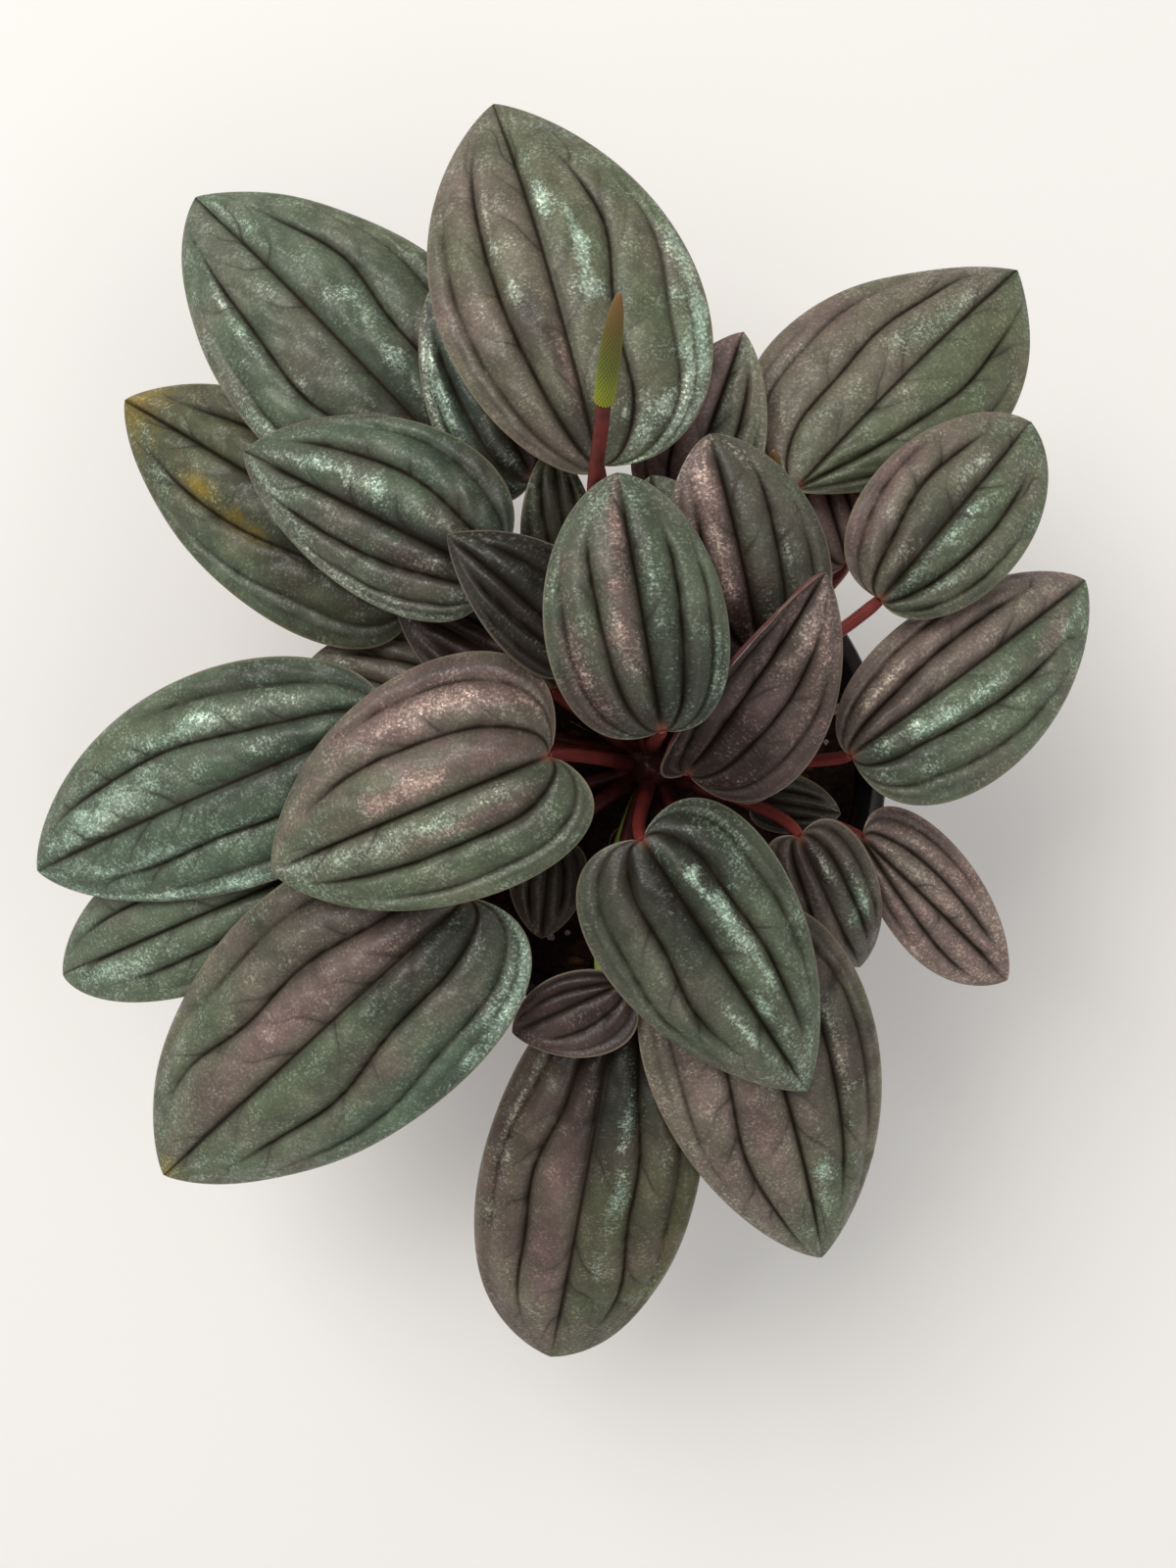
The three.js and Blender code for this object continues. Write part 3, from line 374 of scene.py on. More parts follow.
class PeperomiaStalkSettings(bpy.types.PropertyGroup):
    """Sizes and colours of the stalks and the flower spikes."""
    radius: length("Stalk radius", "Radius of a leaf stalk", 1.3)
    dark_red: colour("Dark red", "Stalks near the crown", "#33100e")
    red: colour("Red", "Stalks near the leaves", "#6f2a25")
    green: colour("Green", "The one green stalk", "#8fa845")
    straw: colour("Straw", "The stalk that has lost its leaf", "#b09a83")
    spike_foot: colour("Spike foot", "Ripe florets at the foot", "#8f9028")
    spike_tip: colour("Spike tip", "Browned florets at the tip", "#84603c")


class PeperomiaPotSettings(bpy.types.PropertyGroup):
    """Sizes and colours of the pot and the soil."""
    height: length("Pot height", "From the foot to the lip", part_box("pot")[1].z / MM)
    rim_radius: length("Rim radius", "Outside of the rim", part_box("pot")[1].x / MM)
    plastic: colour("Pot", "Black plastic", "#19191c")
    peat: colour("Peat", "Fine part of the soil", "#3a2519")
    bark: colour("Bark", "Chips in the soil", "#6d4528")
    fibre: colour("Fibre", "Coir threads in the soil", "#a5835c")
    perlite: colour("Perlite", "White grains in the soil", "#d8d0c2")


class PeperomiaStageSettings(bpy.types.PropertyGroup):
    """The floor, the lights and the camera."""
    floor: colour("Floor", "Painted board under the pot", "#f1f0ee")
    camera_height: length("Camera height", "Distance of the camera above the floor", 429)
    lens: bpy.props.FloatProperty(name="Lens", description="Focal length on a 36 mm sensor",
                                  default=38.25, min=1, unit="CAMERA")
    key: bpy.props.FloatProperty(name="Key light", description="Power of the large softbox",
                                 default=15, min=0, unit="POWER")
    ambient: bpy.props.FloatProperty(name="Ambient", description="Light from all sides",
                                     default=0.43, min=0)


# Modelling helpers

def deselect():
    """Leaves nothing selected, because an operator acts on all that is."""
    bpy.ops.object.select_all(action="DESELECT")


def places(piece):
    """The vertices of a piece as an array."""
    flat = np.empty(len(piece.data.vertices) * 3)
    piece.data.vertices.foreach_get("co", flat)
    return flat.reshape(-1, 3)


def set_places(piece, points):
    """Moves the vertices of a piece to an array of points."""
    piece.data.vertices.foreach_set("co", np.asarray(points, np.float32).ravel())
    piece.data.update()


def paint(piece, **masks):
    """Stores one number a vertex under each name, for the materials to read."""
    for name, values in masks.items():
        attribute = piece.data.attributes.new(name, "FLOAT", "POINT")
        spread = np.broadcast_to(values, len(piece.data.vertices))
        attribute.data.foreach_set("value", spread.astype(np.float32))


def merge_doubles(face_out=False):
    """Merges doubled points of the active piece and, if asked to, turns every face outwards."""
    bpy.ops.object.mode_set(mode="EDIT")
    bpy.ops.mesh.select_all(action="SELECT")
    bpy.ops.mesh.remove_doubles(threshold=1e-7)
    if face_out:
        bpy.ops.mesh.normals_make_consistent(inside=False)
    bpy.ops.object.mode_set(mode="OBJECT")


def apply_modifier(piece, kind, **settings):
    """Adds one modifier with its settings and applies it."""
    bpy.ops.object.modifier_add(type=kind)
    modifier = piece.modifiers[-1]
    for key, value in settings.items():
        setattr(modifier, key, value)
    bpy.ops.object.modifier_apply(modifier=modifier.name)


def choose(*pieces):
    """Selects these pieces alone and makes the first the active one."""
    deselect()
    for piece in pieces:
        piece.select_set(True)
    bpy.context.view_layer.objects.active = pieces[0]


def join(pieces):
    """Joins several pieces into the first."""
    choose(*pieces)
    if len(pieces) > 1:
        bpy.ops.object.join()
    return pieces[0]


def hand_over(piece, name, slot, *nodes, angle=40):
    """Names a finished piece, settles its place in its mesh and lets it stand for its nodes."""
    choose(piece)
    bpy.ops.object.transform_apply(location=True, rotation=True, scale=True)
    bpy.ops.object.shade_smooth_by_angle(angle=math.radians(angle))
    piece.name = name
    piece.data.name = name
    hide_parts(*nodes)
    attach(piece, "root")


def hills(seed, x, y, size, count=7):
    """Smooth random hills of about that size, between about -1 and 1."""
    draw = random.Random(seed)
    total = 0
    for _ in range(count):
        angle = draw.uniform(0, 2 * math.pi)
        pace = 2 * math.pi / size * draw.uniform(0.6, 1.3)
        total = total + np.sin((x * math.cos(angle) + y * math.sin(angle)) * pace + draw.uniform(0, 6.3))
    return total / math.sqrt(count)


def smooth(x):
    """A soft step from 0 to 1."""
    t = np.clip(x, 0, 1)
    return t * t * (3 - 2 * t)


def unit(vectors):
    """Vectors of length 1 in the same directions."""
    vectors = np.asarray(vectors, float)
    return vectors / np.linalg.norm(vectors, axis=-1, keepdims=True)


def turned(vectors, axes, angles):
    """Vectors turned about unit axes by angles in radians."""
    angles = np.asarray(angles)[..., None]
    along = np.sum(vectors * axes, axis=-1, keepdims=True)
    return (vectors * np.cos(angles) + np.cross(axes, vectors) * np.sin(angles)
            + axes * along * (1 - np.cos(angles)))


# The form of a leaf

def width_at(u, full, point):
    """The half width along the leaf, as a share of the widest."""
    widest = full / (full + point)
    return (u / widest) ** full * ((1 - u) / (1 - widest)) ** point


def of_side(value, left):
    """A value that is the same on both sides, or a pair of a left and a right one, at each point."""
    pair = value if isinstance(value, tuple) else (value, value)
    return np.where(left, pair[0], pair[1]).astype(float)


def lobe_at(u):
    """How far the lobes beside the stalk reach back, as a share of the leaf's lobe."""
    deepest = 0.11
    return (u / deepest) ** 0.27 * ((1 - u) / (1 - deepest)) ** 2.2


def ridge_at(u, across):
    """Which ridge between two sunken ribs each point is on, its place on it and the ridge's share."""
    ribs = [low + (high - low) * u for low, high in zip(RIBS_AT_STALK, RIBS_AT_TIP)]
    ridge = (across > ribs[1]).astype(int) + (across > ribs[2])
    low, high = np.choose(ridge, ribs[:3]), np.choose(ridge, ribs[1:])
    return ridge, np.clip((across - low) / (high - low), 0, 1), high - low, low


def domed(place):
    """The round back of a ridge, from 0 in the ribs beside it to 1."""
    return np.sin(np.pi * np.clip(place, 0, 1)) ** 0.8


def midrib(leaf, u):
    """The midrib's place along the leaf, its direction, the way to the left and the way out."""
    start, end = np.array(leaf["base"], float), np.array(leaf["tip"], float)
    size = np.linalg.norm(end - start)
    ahead = (end - start) / size
    left = turned(unit(np.cross([0, 0, 1], ahead)), ahead, math.radians(leaf.get("roll", 0)))
    face = np.cross(ahead, left)
    arch, sweep = leaf["arch"], leaf.get("sweep", 0)
    u = np.asarray(u, float)[..., None]
    bulge, slope = 4 * u * (1 - u) * size, 4 * (1 - 2 * u)
    middle = start + ahead * u * size + (face * arch + left * sweep) * bulge
    tangent = unit(ahead + (face * arch + left * sweep) * slope)
    sideways = unit(left - tangent * np.sum(tangent * left, axis=-1, keepdims=True))
    sideways = turned(sideways, tangent, math.radians(leaf.get("twist", 0)) * u[..., 0])
    return size, middle, tangent, sideways, np.cross(tangent, sideways)


def side_veins(seed, along, outward, ridge, left):
    """The side veins that lean forward out of each rib: a count that is whole and a half in the
    middle of each vein, how strong that vein is and the pillow between it and the next."""
    draw = random.Random(seed)
    strengths = np.array([draw.choice((0.15, 0.6, 1)) for _ in range(64)])
    offsets = np.array([draw.uniform(0, 1) for _ in range(8)])
    count = (along - SIDE_VEIN_LEAN * outward * (1 + 0.02 * outward)) / SIDE_VEIN_SPACING
    count = count + np.take(offsets, ridge + 4 * left) + 0.14 * hills(seed + 1, along, outward, 12) + 8
    whole = np.floor(count).astype(int)
    strength = np.take(strengths, (whole * 5 + ridge * 3 + left * 17) % 64)
    return count, strength, np.abs(2 * (count - whole) - 1)


def notch(distance, reach, power=2):
    """1 on a vein, and less away from it, next to nothing at twice the reach."""
    return np.exp(-(distance / reach) ** power)


def veins_at(seed, u, y, across, left, half, width):
    """Where each point lies between the ribs and between the side veins, and how strong these are."""
    wander = RIB_WANDER * hills(seed + 8, y, 40 * left, 34) * np.minimum(u / 0.2, 1)
    warped = across + wander * 4 * across * (1 - across)
    ridge, place, gap, low = ridge_at(u, warped)
    nearest = ridge + (place > 0.5)
    rib_end = np.take((*RIB_ENDS, 0), nearest) + 0.06 * hills(seed + 9, nearest * 30, left * 50, 25)
    rib_power = np.take((1, 1, 0.6, 0), nearest) * (1 - smooth((u - rib_end + 0.22) / 0.22))
    to_rib = np.minimum(place, 1 - place) * gap * width
    count, strength, pillow = side_veins(seed, y, (warped - low) * half, ridge, left)
    side_power = strength * smooth((u - 0.08) / 0.14) * smooth((0.97 - u) / 0.1) * (ridge < 2)
    side_power = side_power * (1 - 0.75 * smooth((place - 0.25) / 0.45))
    return SimpleNamespace(ridge=ridge, place=place, gap=gap, rib_power=rib_power, to_rib=to_rib,
                           count=count, pillow=pillow, side_power=side_power,
                           to_side=np.abs(count % 1 - 0.5) * SIDE_VEIN_SPACING / SIDE_VEIN_SLANT)


def crease_at(u, veins, width):
    """How deep each point lies in the shade of the veins, and of an arc in the lobe, from 0 to 1."""
    crease = 0.85 * veins.rib_power * notch(veins.to_rib, 1.1, 1.5)
    crease = crease + 0.5 * veins.side_power * notch(veins.to_side, 0.8, 1.5)
    in_lobe = (veins.ridge == 2) * (1 - smooth((u - 0.3) / 0.2)) * smooth(u / 0.05)
    to_arc = (veins.place - 0.5) * veins.gap * width
    return np.clip(crease + 0.75 * in_lobe * notch(to_arc, 0.5), 0, 1)


def skin_masks(seed, look, u, v, x, y, ridge, left, crease):
    """The colouring of the skin at each point, with its painted shade and painted highlights, as shares
    from 0 to 1.
    """
    # Painted shade, with some darker pigment: the skin is darkest near the stalk, in the middle more than
    # at the margin
    shaded = 0.62 * (1 - smooth(u / 0.55)) * (1 - 0.65 * np.abs(v)) - 0.06
    masks = {"tone": look["tone"] + 0 * u, "shade_and_dark_pigment": look["shade_and_dark_pigment"] + shaded}
    for mask in ("mauve", "silvering_and_highlight"):
        masks[mask] = of_side(look[mask], left)
    draw = random.Random(seed + 3)
    zones = np.array([draw.uniform(-0.12, 0.12) for _ in range(8)])
    masks["mauve"] = masks["mauve"] + np.take(zones, ridge + 4 * left) + 0.12 * hills(seed + 4, x, y, 16)
    # Painted light: the silver grows towards the tip, where the leaf faces up into the light
    masks["silvering_and_highlight"] = masks["silvering_and_highlight"] + 0.1 * hills(seed + 5, x, y, 9) + 0.08 * smooth((u - 0.6) / 0.3)
    masks["shade_and_dark_pigment"] = masks["shade_and_dark_pigment"] + 0.12 * hills(seed + 6, x, y, 20)
    ragged = 0.4 * hills(seed + 7, x, y, 6)
    for mask, patches in look["patches"].items():
        for along, over, along_reach, over_reach, amount in patches:
            distance = ((u - along) / along_reach) ** 2 + ((v - over) / over_reach) ** 2
            masks[mask] = masks[mask] + amount * np.exp(-distance * (1 + ragged))
    masks["silvering_and_highlight"] = masks["silvering_and_highlight"] * (1 - 0.8 * crease)
    return {mask: np.clip(values, 0, 1) for mask, values in masks.items()}


def leaf_blade(name, leaf, look, u, v):
    """The upper surface of a leaf at u along and v across, and what the skin reads at each point."""
    seed = int(name[-2:]) * 101
    size, middle, tangent, sideways, out = midrib(leaf, u)
    left = (v >= 0).astype(int)
    across = np.abs(v)
    half = of_side(leaf["half"], left)
    shape = of_side(leaf.get("full", DEFAULT_FULL), left), of_side(leaf["point"], left)
    width = half * width_at(u, *shape)
    x, y = v * half, u * size
    veins = veins_at(seed, u, y, across, left, half, width)

    bend = np.radians(of_side(leaf["curl"], left))
    turn = bend * across
    reach = np.sin(turn) / bend * width * np.sign(v)
    lift = (1 - np.cos(turn)) / bend * width
    tip_fade = smooth((1 - u) / TIP_FADE)
    fade = smooth(u / BASE_FADE) * tip_fade
    dome = domed(veins.place)
    ribbed = np.take(RIDGE_HEIGHTS, veins.ridge) * dome
    plain = 0.8 * domed(across ** 0.8)
    relief = leaf["rib"] * size * fade * (ribbed + (plain - ribbed) * smooth((u - 0.55) / 0.35))
    ripple = leaf.get("wave", 0) * size * across ** 4 * np.sin(u * WAVE_PACE + (1 - left) * 2) * tip_fade
    back = leaf.get("lobe", DEFAULT_LOBE) * size * across ** 1.5 * lobe_at(u)

    pillows = look["blister"] * fade * dome * (veins.pillow ** 0.8 - 0.5)
    blisters = 0.4 * look["blister"] * fade * hills(seed + 2, x, y, 5) * dome
    groove = veins.rib_power * notch(veins.to_rib, GROOVE_REACH) * smooth(u / 0.05)
    side_groove = veins.side_power * notch(veins.to_side, SIDE_GROOVE_REACH)
    detail = pillows + blisters - GROOVE_DEPTH * groove - SIDE_GROOVE_DEPTH * side_groove
    normal = out * np.cos(turn)[:, None] - sideways * (np.sin(turn) * np.sign(v))[:, None]
    surface = middle - tangent * back[:, None] + sideways * reach[:, None]
    surface = surface + out * (lift + relief + ripple)[:, None] + normal * detail[:, None]

    crease = crease_at(u, veins, width)
    masks = skin_masks(seed, look, u, v, x, y, veins.ridge, left, crease)
    masks.update(crease=crease, heart=np.exp(-((y ** 2 + (v * width) ** 2) / HEART_SIZE)),
                 rib_count=np.where(left, 1, -1) * (veins.ridge + veins.place),
                 rib_gap=veins.gap * width, rib_power=veins.rib_power, side_count=veins.count,
                 side_power=veins.side_power, skin_across=x, skin_along=y)
    return surface * MM, masks


def grow_leaf(name, leaf, look, blade, materials):
    """Models one leaf from a flat grid, bends it to its form and gives it thickness."""
    size = math.dist(leaf["base"], leaf["tip"])
    deselect()
    bpy.ops.mesh.primitive_grid_add(x_subdivisions=round(sum(leaf["half"]) / CELL),
                                    y_subdivisions=round(size / CELL), size=1)
    piece = bpy.context.object
    flat = places(piece)
    u = 0.5 + 0.5 * np.sin(np.pi * flat[:, 1])
    v = -2 * flat[:, 0]
    surface, masks = leaf_blade(name, leaf, look, np.clip(u, 0, 1), np.clip(v, -1, 1))
    set_places(piece, surface)
    paint(piece, **masks)
    # The blade thins to a share at the margin, and thins further in the very tip
    thickness = piece.vertex_groups.new(name="thickness")
    inward = smooth((1 - np.abs(v)) / 0.2) * smooth((1 - u) / 0.05)
    weights = (MARGIN_SHARE + (1 - MARGIN_SHARE) * inward) * (0.3 + 0.7 * smooth((1 - u) / 0.02))
    for index, weight in enumerate(weights):
        thickness.add([index], float(weight), "REPLACE")
    merge_doubles()
    for material in materials:
        piece.data.materials.append(material)
    apply_modifier(piece, "SOLIDIFY", thickness=blade, offset=-1, vertex_group="thickness",
                   material_offset=1, material_offset_rim=2)
    hand_over(piece, name + "_blade", "leaf", name, angle=60)


# Stalks and spikes

def tube(points, radii, thickness, resolution=6):
    """A round tube along a Bezier curve through points with their two handles, made a mesh."""
    deselect()
    bpy.ops.curve.primitive_bezier_curve_add()
    piece = bpy.context.object
    curve = piece.data
    spline = curve.splines[0]
    spline.bezier_points.add(len(points) - 2)
    for knot, (place, before, after), radius in zip(spline.bezier_points, points, radii):
        knot.handle_left_type = knot.handle_right_type = "FREE"
        knot.co = Vector(place) * MM
        knot.handle_left = Vector(before) * MM
        knot.handle_right = Vector(after) * MM
        knot.radius = radius
    curve.resolution_u = resolution
    curve.bevel_depth = thickness
    curve.bevel_resolution = 3
    curve.use_fill_caps = True
    bpy.ops.object.convert(target="MESH")
    return bpy.context.object


def halved(start, first, second, end, share):
    """Splits a cubic Bezier curve in two and returns both, as lists of four points."""
    a, b, c = (p + (q - p) * share for p, q in ((start, first), (first, second), (second, end)))
    d, e = a + (b - a) * share, b + (c - b) * share
    middle = d + (e - d) * share
    return [start, a, d, middle], [middle, e, c, end]


def leaf_stalk(leaf, radius):
    """The stalk of one leaf, from the crown up through the sinus to the heart of the blade."""
    _, middle, tangent, _, out = midrib(leaf, 0.0)
    along, upward = STALK_ARRIVAL
    arriving = unit(tangent * along + out * upward)
    end = middle - out * SINK_IN_BLADE
    outward = end - CROWN
    outward[2] = 0
    reach = np.linalg.norm(outward)
    bow = np.array(leaf.get("bow", (0, 0, 0)), float)
    foot = CROWN + outward / reach * min(STALK_FOOT, reach)
    first = foot + (end - foot) * STALK_SHOULDER + bow
    first[2] += STALK_LIFT * np.linalg.norm(end - CROWN)
    second = end - arriving * STALK_BEND + bow
    lower, rest = halved(foot, first, second, end, STALK_SPLITS[0])
    upper, last = halved(*rest, STALK_SPLITS[1])
    knots = [(foot, foot, lower[1]), (lower[3], lower[2], upper[1]), (upper[3], upper[2], last[1]),
             (end, last[2], end + arriving)]
    piece = tube(knots, (STALK_FLARE, 1, 0.96, 0.8), radius, 10)
    reached = places(piece) / MM
    share = np.linalg.norm(reached - foot, axis=1) / np.linalg.norm(end - foot)
    paint(piece, along=np.clip(share, 0, 1))
    return piece


def eased(points):
    """Knots of a smooth curve through a list of points, each with its two handles."""
    points = [np.array(p, float) for p in points]
    knots = []
    for i, point in enumerate(points):
        before, after = points[max(i - 1, 0)], points[min(i + 1, len(points) - 1)]
        lean = (after - before) / (6 if 0 < i < len(points) - 1 else 3)
        knots.append((point, point - lean, point + lean))
    return knots


def grow_crown():
    """The short knobbly crown that the stalks spring from."""
    deselect()
    bpy.ops.mesh.primitive_uv_sphere_add(segments=40, ring_count=28, radius=1)
    piece = bpy.context.object
    round_points = places(piece)
    lump = np.array([noise(Vector(p) * 2.3) for p in round_points])
    size = np.where(round_points[:, 2] > 0, CROWN_RISE, CROWN_DEPTH) * (1 + 0.12 * lump)
    spread = (CROWN_RADIUS - 0.4) * (0.97 + 0.06 * lump)
    round_points[:, :2] *= spread[:, None]
    round_points[:, 2] *= size
    set_places(piece, (round_points + CROWN) * MM)
    paint(piece, along=0.0)
    return piece


def grow_spike(name, spike, material):
    """One flower spike: a slim cone set with rows of tiny florets."""
    foot, top = np.array(spike["stalk"][-1], float), np.array(spike["tip"], float)
    radius = spike["radius"]
    lean = unit(top - foot)
    middle = (foot + top) / 2 + np.array([0, SPIKE_BEND, 0])
    size = np.linalg.norm(top - foot)
    around = round(2 * math.pi * radius / FLORET)
    rows = size / FLORET
    deselect()
    bpy.ops.mesh.primitive_uv_sphere_add(segments=around * 5, ring_count=round(rows * 4), radius=1)
    piece = bpy.context.object
    ball = places(piece)
    t = 0.5 - np.arcsin(np.clip(-ball[:, 2], -1, 1)) / math.pi
    angle = np.arctan2(ball[:, 1], ball[:, 0])
    axis = ((1 - t) ** 2)[:, None] * foot + (2 * t * (1 - t))[:, None] * middle
    axis = axis + (t ** 2)[:, None] * top
    right = unit(np.cross(lean, [1, 0, 0]))
    ahead = np.cross(lean, right)
    round_end = np.clip(1.02 - t ** 6, 0, 1) * np.clip(t / 0.02, 0, 1) * np.clip((1 - t) / 0.015, 0, 1)
    floret = np.cos(angle * around) * np.cos(rows * math.pi * t)
    taper = 0.84 + 0.5 * t - 0.8 * t ** 2
    spread = radius * taper * np.sqrt(round_end) * (1 + FLORET_HEIGHT * floret)
    ring = np.cos(angle)[:, None] * right + np.sin(angle)[:, None] * ahead
    set_places(piece, (axis + ring * spread[:, None]) * MM)
    paint(piece, along=t, floret=floret)
    piece.data.materials.append(material)
    merge_doubles(face_out=True)
    hand_over(piece, name + "_florets", "spike", name, angle=80)


# Pot and soil

def lathe(profile):
    """A closed round shape, drawn up ring by ring along a profile of radii and heights."""
    deselect()
    bpy.ops.mesh.primitive_circle_add(vertices=RING_POINTS, radius=profile[0][0] * MM, fill_type="NGON",
                                      location=(0, 0, profile[0][1] * MM))
    piece = bpy.context.object
    bpy.ops.object.transform_apply(location=True)
    bpy.ops.object.mode_set(mode="EDIT")
    bpy.ops.mesh.select_mode(type="EDGE")
    bpy.ops.mesh.select_all(action="SELECT")
    for (last_radius, last_height), (radius, height) in zip(profile, profile[1:]):
        rise = (height - last_height) * MM
        bpy.ops.mesh.extrude_edges_move(TRANSFORM_OT_translate={"value": (0, 0, rise)})
        scale = radius / last_radius
        bpy.ops.transform.resize(value=(scale, scale, 1), center_override=(0, 0, height * MM))
    bpy.ops.mesh.edge_face_add()
    bpy.ops.mesh.select_all(action="SELECT")
    bpy.ops.mesh.normals_make_consistent(inside=False)
    bpy.ops.object.mode_set(mode="OBJECT")
    return piece


def inner_radius(z):
    """The inner radius of the pot wall at a height, in millimetres."""
    return FOOT_RADIUS + (RIM_RADIUS - RIM_STEP - FOOT_RADIUS) * z / SHOULDER - WALL


def mould_pot(settings, material):
    """The round nursery pot, drawn up ring by ring and pierced with its drain holes."""
    top, rim = settings.height / MM, settings.rim_radius / MM
    shoulder = top - RIM_BAND
    wall = rim - RIM_STEP
    # Radius and height of each ring: the floor from below, the outside, the rim and the inside
    profile = [
        (20, 1.6), (33.2, 1.6), (34, 0.8), (34.4, 0), (36.6, 0), (37.2, 0.3), (37.5, 1), (37.7, 3),
        (wall - 0.2, shoulder - 0.6), (wall, shoulder - 0.1), (wall + 0.5, shoulder + 0.15),
        (rim - 1.5, shoulder + 0.4), (rim - 1.1, shoulder + 0.8), (rim - 0.5, top - 1.6),
        (rim, top - 1.2), (rim, top - 0.5), (rim - 0.4, top), (rim - 2.4, top), (rim - 2.9, top - 0.3),
        (rim - 3.3, top - 1.4), (inner_radius(shoulder) + 0.2, shoulder - 0.2),
        (inner_radius(shoulder), shoulder - 1), (inner_radius(4), 4), (inner_radius(3) - 1, 2.6),
        (30, 2.4), (20, 2.4),
    ]
    pot = lathe(profile)
    drains = []
    for hole in range(DRAINS):
        angle = hole / DRAINS * 2 * math.pi
        place = (DRAIN_CIRCLE * MM * math.cos(angle), DRAIN_CIRCLE * MM * math.sin(angle), 0)
        bpy.ops.mesh.primitive_cylinder_add(vertices=32, radius=DRAIN_RADIUS * MM, depth=12 * MM,
                                            location=place)
        drains.append(bpy.context.object)
    cutter = join(drains)
    choose(pot)
    apply_modifier(pot, "BOOLEAN", object=cutter, operation="DIFFERENCE", solver="EXACT")
    bpy.data.objects.remove(cutter)
    pot.data.materials.append(material)
    hand_over(pot, "nursery_pot", "pot", "pot", angle=35)


def soil_height(x, y):
    """The uneven top of the soil, in millimetres."""
    radius = np.hypot(x, y) / inner_radius(SOIL_LEVEL)
    uneven = np.sin(x * 0.31 + 1) * np.cos(y * 0.27) + 0.6 * np.sin(x * 0.71 - y * 0.53)
    return SOIL_LEVEL + 2.2 * (1 - radius ** 2) + 0.5 * uneven * (1 - radius ** 6)


def strew(shape, places_and_sizes, draw):
    """Copies of one small shape, each stretched, turned at random and set in its place."""
    shape_points = places(shape)
    copies = []
    for place, sizes in places_and_sizes:
        axis = Vector([draw.gauss(0, 1) for _ in range(3)]).normalized()
        turn = np.array(Matrix.Rotation(draw.uniform(0, 2 * math.pi), 3, axis))
        copy = shape.copy()
        copy.data = shape.data.copy()
        set_places(copy, (shape_points * sizes @ turn.T + place) * MM)
        bpy.context.scene.collection.objects.link(copy)
        copies.append(copy)
    bpy.data.objects.remove(shape)
    return join(copies)


def crumb_shape(subdivisions, roughness, seed):
    """One rough lump of radius 1."""
    deselect()
    bpy.ops.mesh.primitive_ico_sphere_add(subdivisions=subdivisions, radius=1)
    piece = bpy.context.object
    points = places(piece)
    lumps = np.array([noise(Vector(p) * 1.4 + Vector((seed, 0, 0))) for p in points])
    set_places(piece, points * (1 + roughness * lumps)[:, None])
    return piece


def soil_places(draw, count, low, high, sunk):
    """Random places on the soil, each with a size, sunk by a share of that size."""
    found = []
    while len(found) < count:
        x, y = draw.uniform(-46, 46), draw.uniform(-46, 46)
        size = draw.triangular(low, high, low)
        clear_of_wall = math.hypot(x, y) < inner_radius(SOIL_LEVEL) - 0.6 - size
        clear_of_crown = math.dist((x, y), CROWN[:2]) > CROWN_RADIUS + 0.3 + size
        if clear_of_wall and clear_of_crown:
            found.append((np.array([x, y, soil_height(x, y) - sunk * size]), size))
    return found


def soil_bed():
    """The body of the soil, from the floor of the pot to its rough top."""
    outer = inner_radius(SOIL_LEVEL) - SOIL_GAP
    rings = [(outer * (1 - ring / SOIL_RINGS), SOIL_LEVEL) for ring in range(SOIL_RINGS)]
    bed = lathe([(inner_radius(SOIL_FOOT) - SOIL_GAP, SOIL_FOOT), *rings])
    points = places(bed) / MM
    top = points[:, 2] > SOIL_LEVEL - 1
    rough = np.array([noise(Vector(p) * 0.45) + 0.6 * noise(Vector(p) * 1.1) for p in points])
    inside = 1 - (np.hypot(points[:, 0], points[:, 1]) / outer) ** 10
    points[top, 2] = (soil_height(points[:, 0], points[:, 1]) + (0.7 * rough - 0.5) * inside)[top]
    set_places(bed, points * MM)
    return bed


def fill_soil(materials):
    """The potting soil: a rough bed with peat crumbs, bark chips, coir threads and perlite."""
    peat, bark, fibre, perlite = materials
    draw = random.Random(11)
    bed = soil_bed()
    crumbs = strew(crumb_shape(2, 0.9, 3), [
        (p, np.array([s, s * draw.uniform(0.6, 1), s * 0.7]))
        for p, s in soil_places(draw, 760, 0.35, 1.7, 0.1)], draw)
    chips = strew(crumb_shape(2, 0.7, 9), [
        (p, np.array([s, s * 0.55, s * 0.22])) for p, s in soil_places(draw, 90, 0.7, 2.6, -0.1)], draw)
    grains = strew(crumb_shape(2, 0.5, 5), [
        (p, np.array([s, s, s * 0.8])) for p, s in soil_places(draw, 26, 0.4, 1.1, -0.2)], draw)
    threads = []
    for place, size in soil_places(draw, 46, 2, 6, 0):
        angle = draw.uniform(0, 2 * math.pi)
        ahead = np.array([math.cos(angle), math.sin(angle), 0])
        aside = np.array([-ahead[1], ahead[0], 0]) * draw.uniform(-0.5, 0.5)
        ends = [place + (ahead * share + aside * (1 - share ** 2)) * size for share in (-1, -0.3, 0.4, 1)]
        for end, rise in zip(ends, (-0.2, 0.9, 1.1, 0.1)):
            near = inner_radius(SOIL_LEVEL) - 1.2
            end[:2] *= min(1, near / np.linalg.norm(end[:2]))
            end[2] = soil_height(end[0], end[1]) + rise * draw.uniform(0.5, 1)
        threads.append(tube(eased(ends), (0.6, 1, 1, 0.5), 0.13 * MM, 3))
    threads = join(threads)
    parts = {bed: peat, crumbs: peat, chips: bark, grains: perlite, threads: fibre}
    for piece, material in parts.items():
        piece.data.materials.clear()
        piece.data.materials.append(material)
    hand_over(join(list(parts)), "potting_soil", "soil", "soil", angle=35)


# Materials

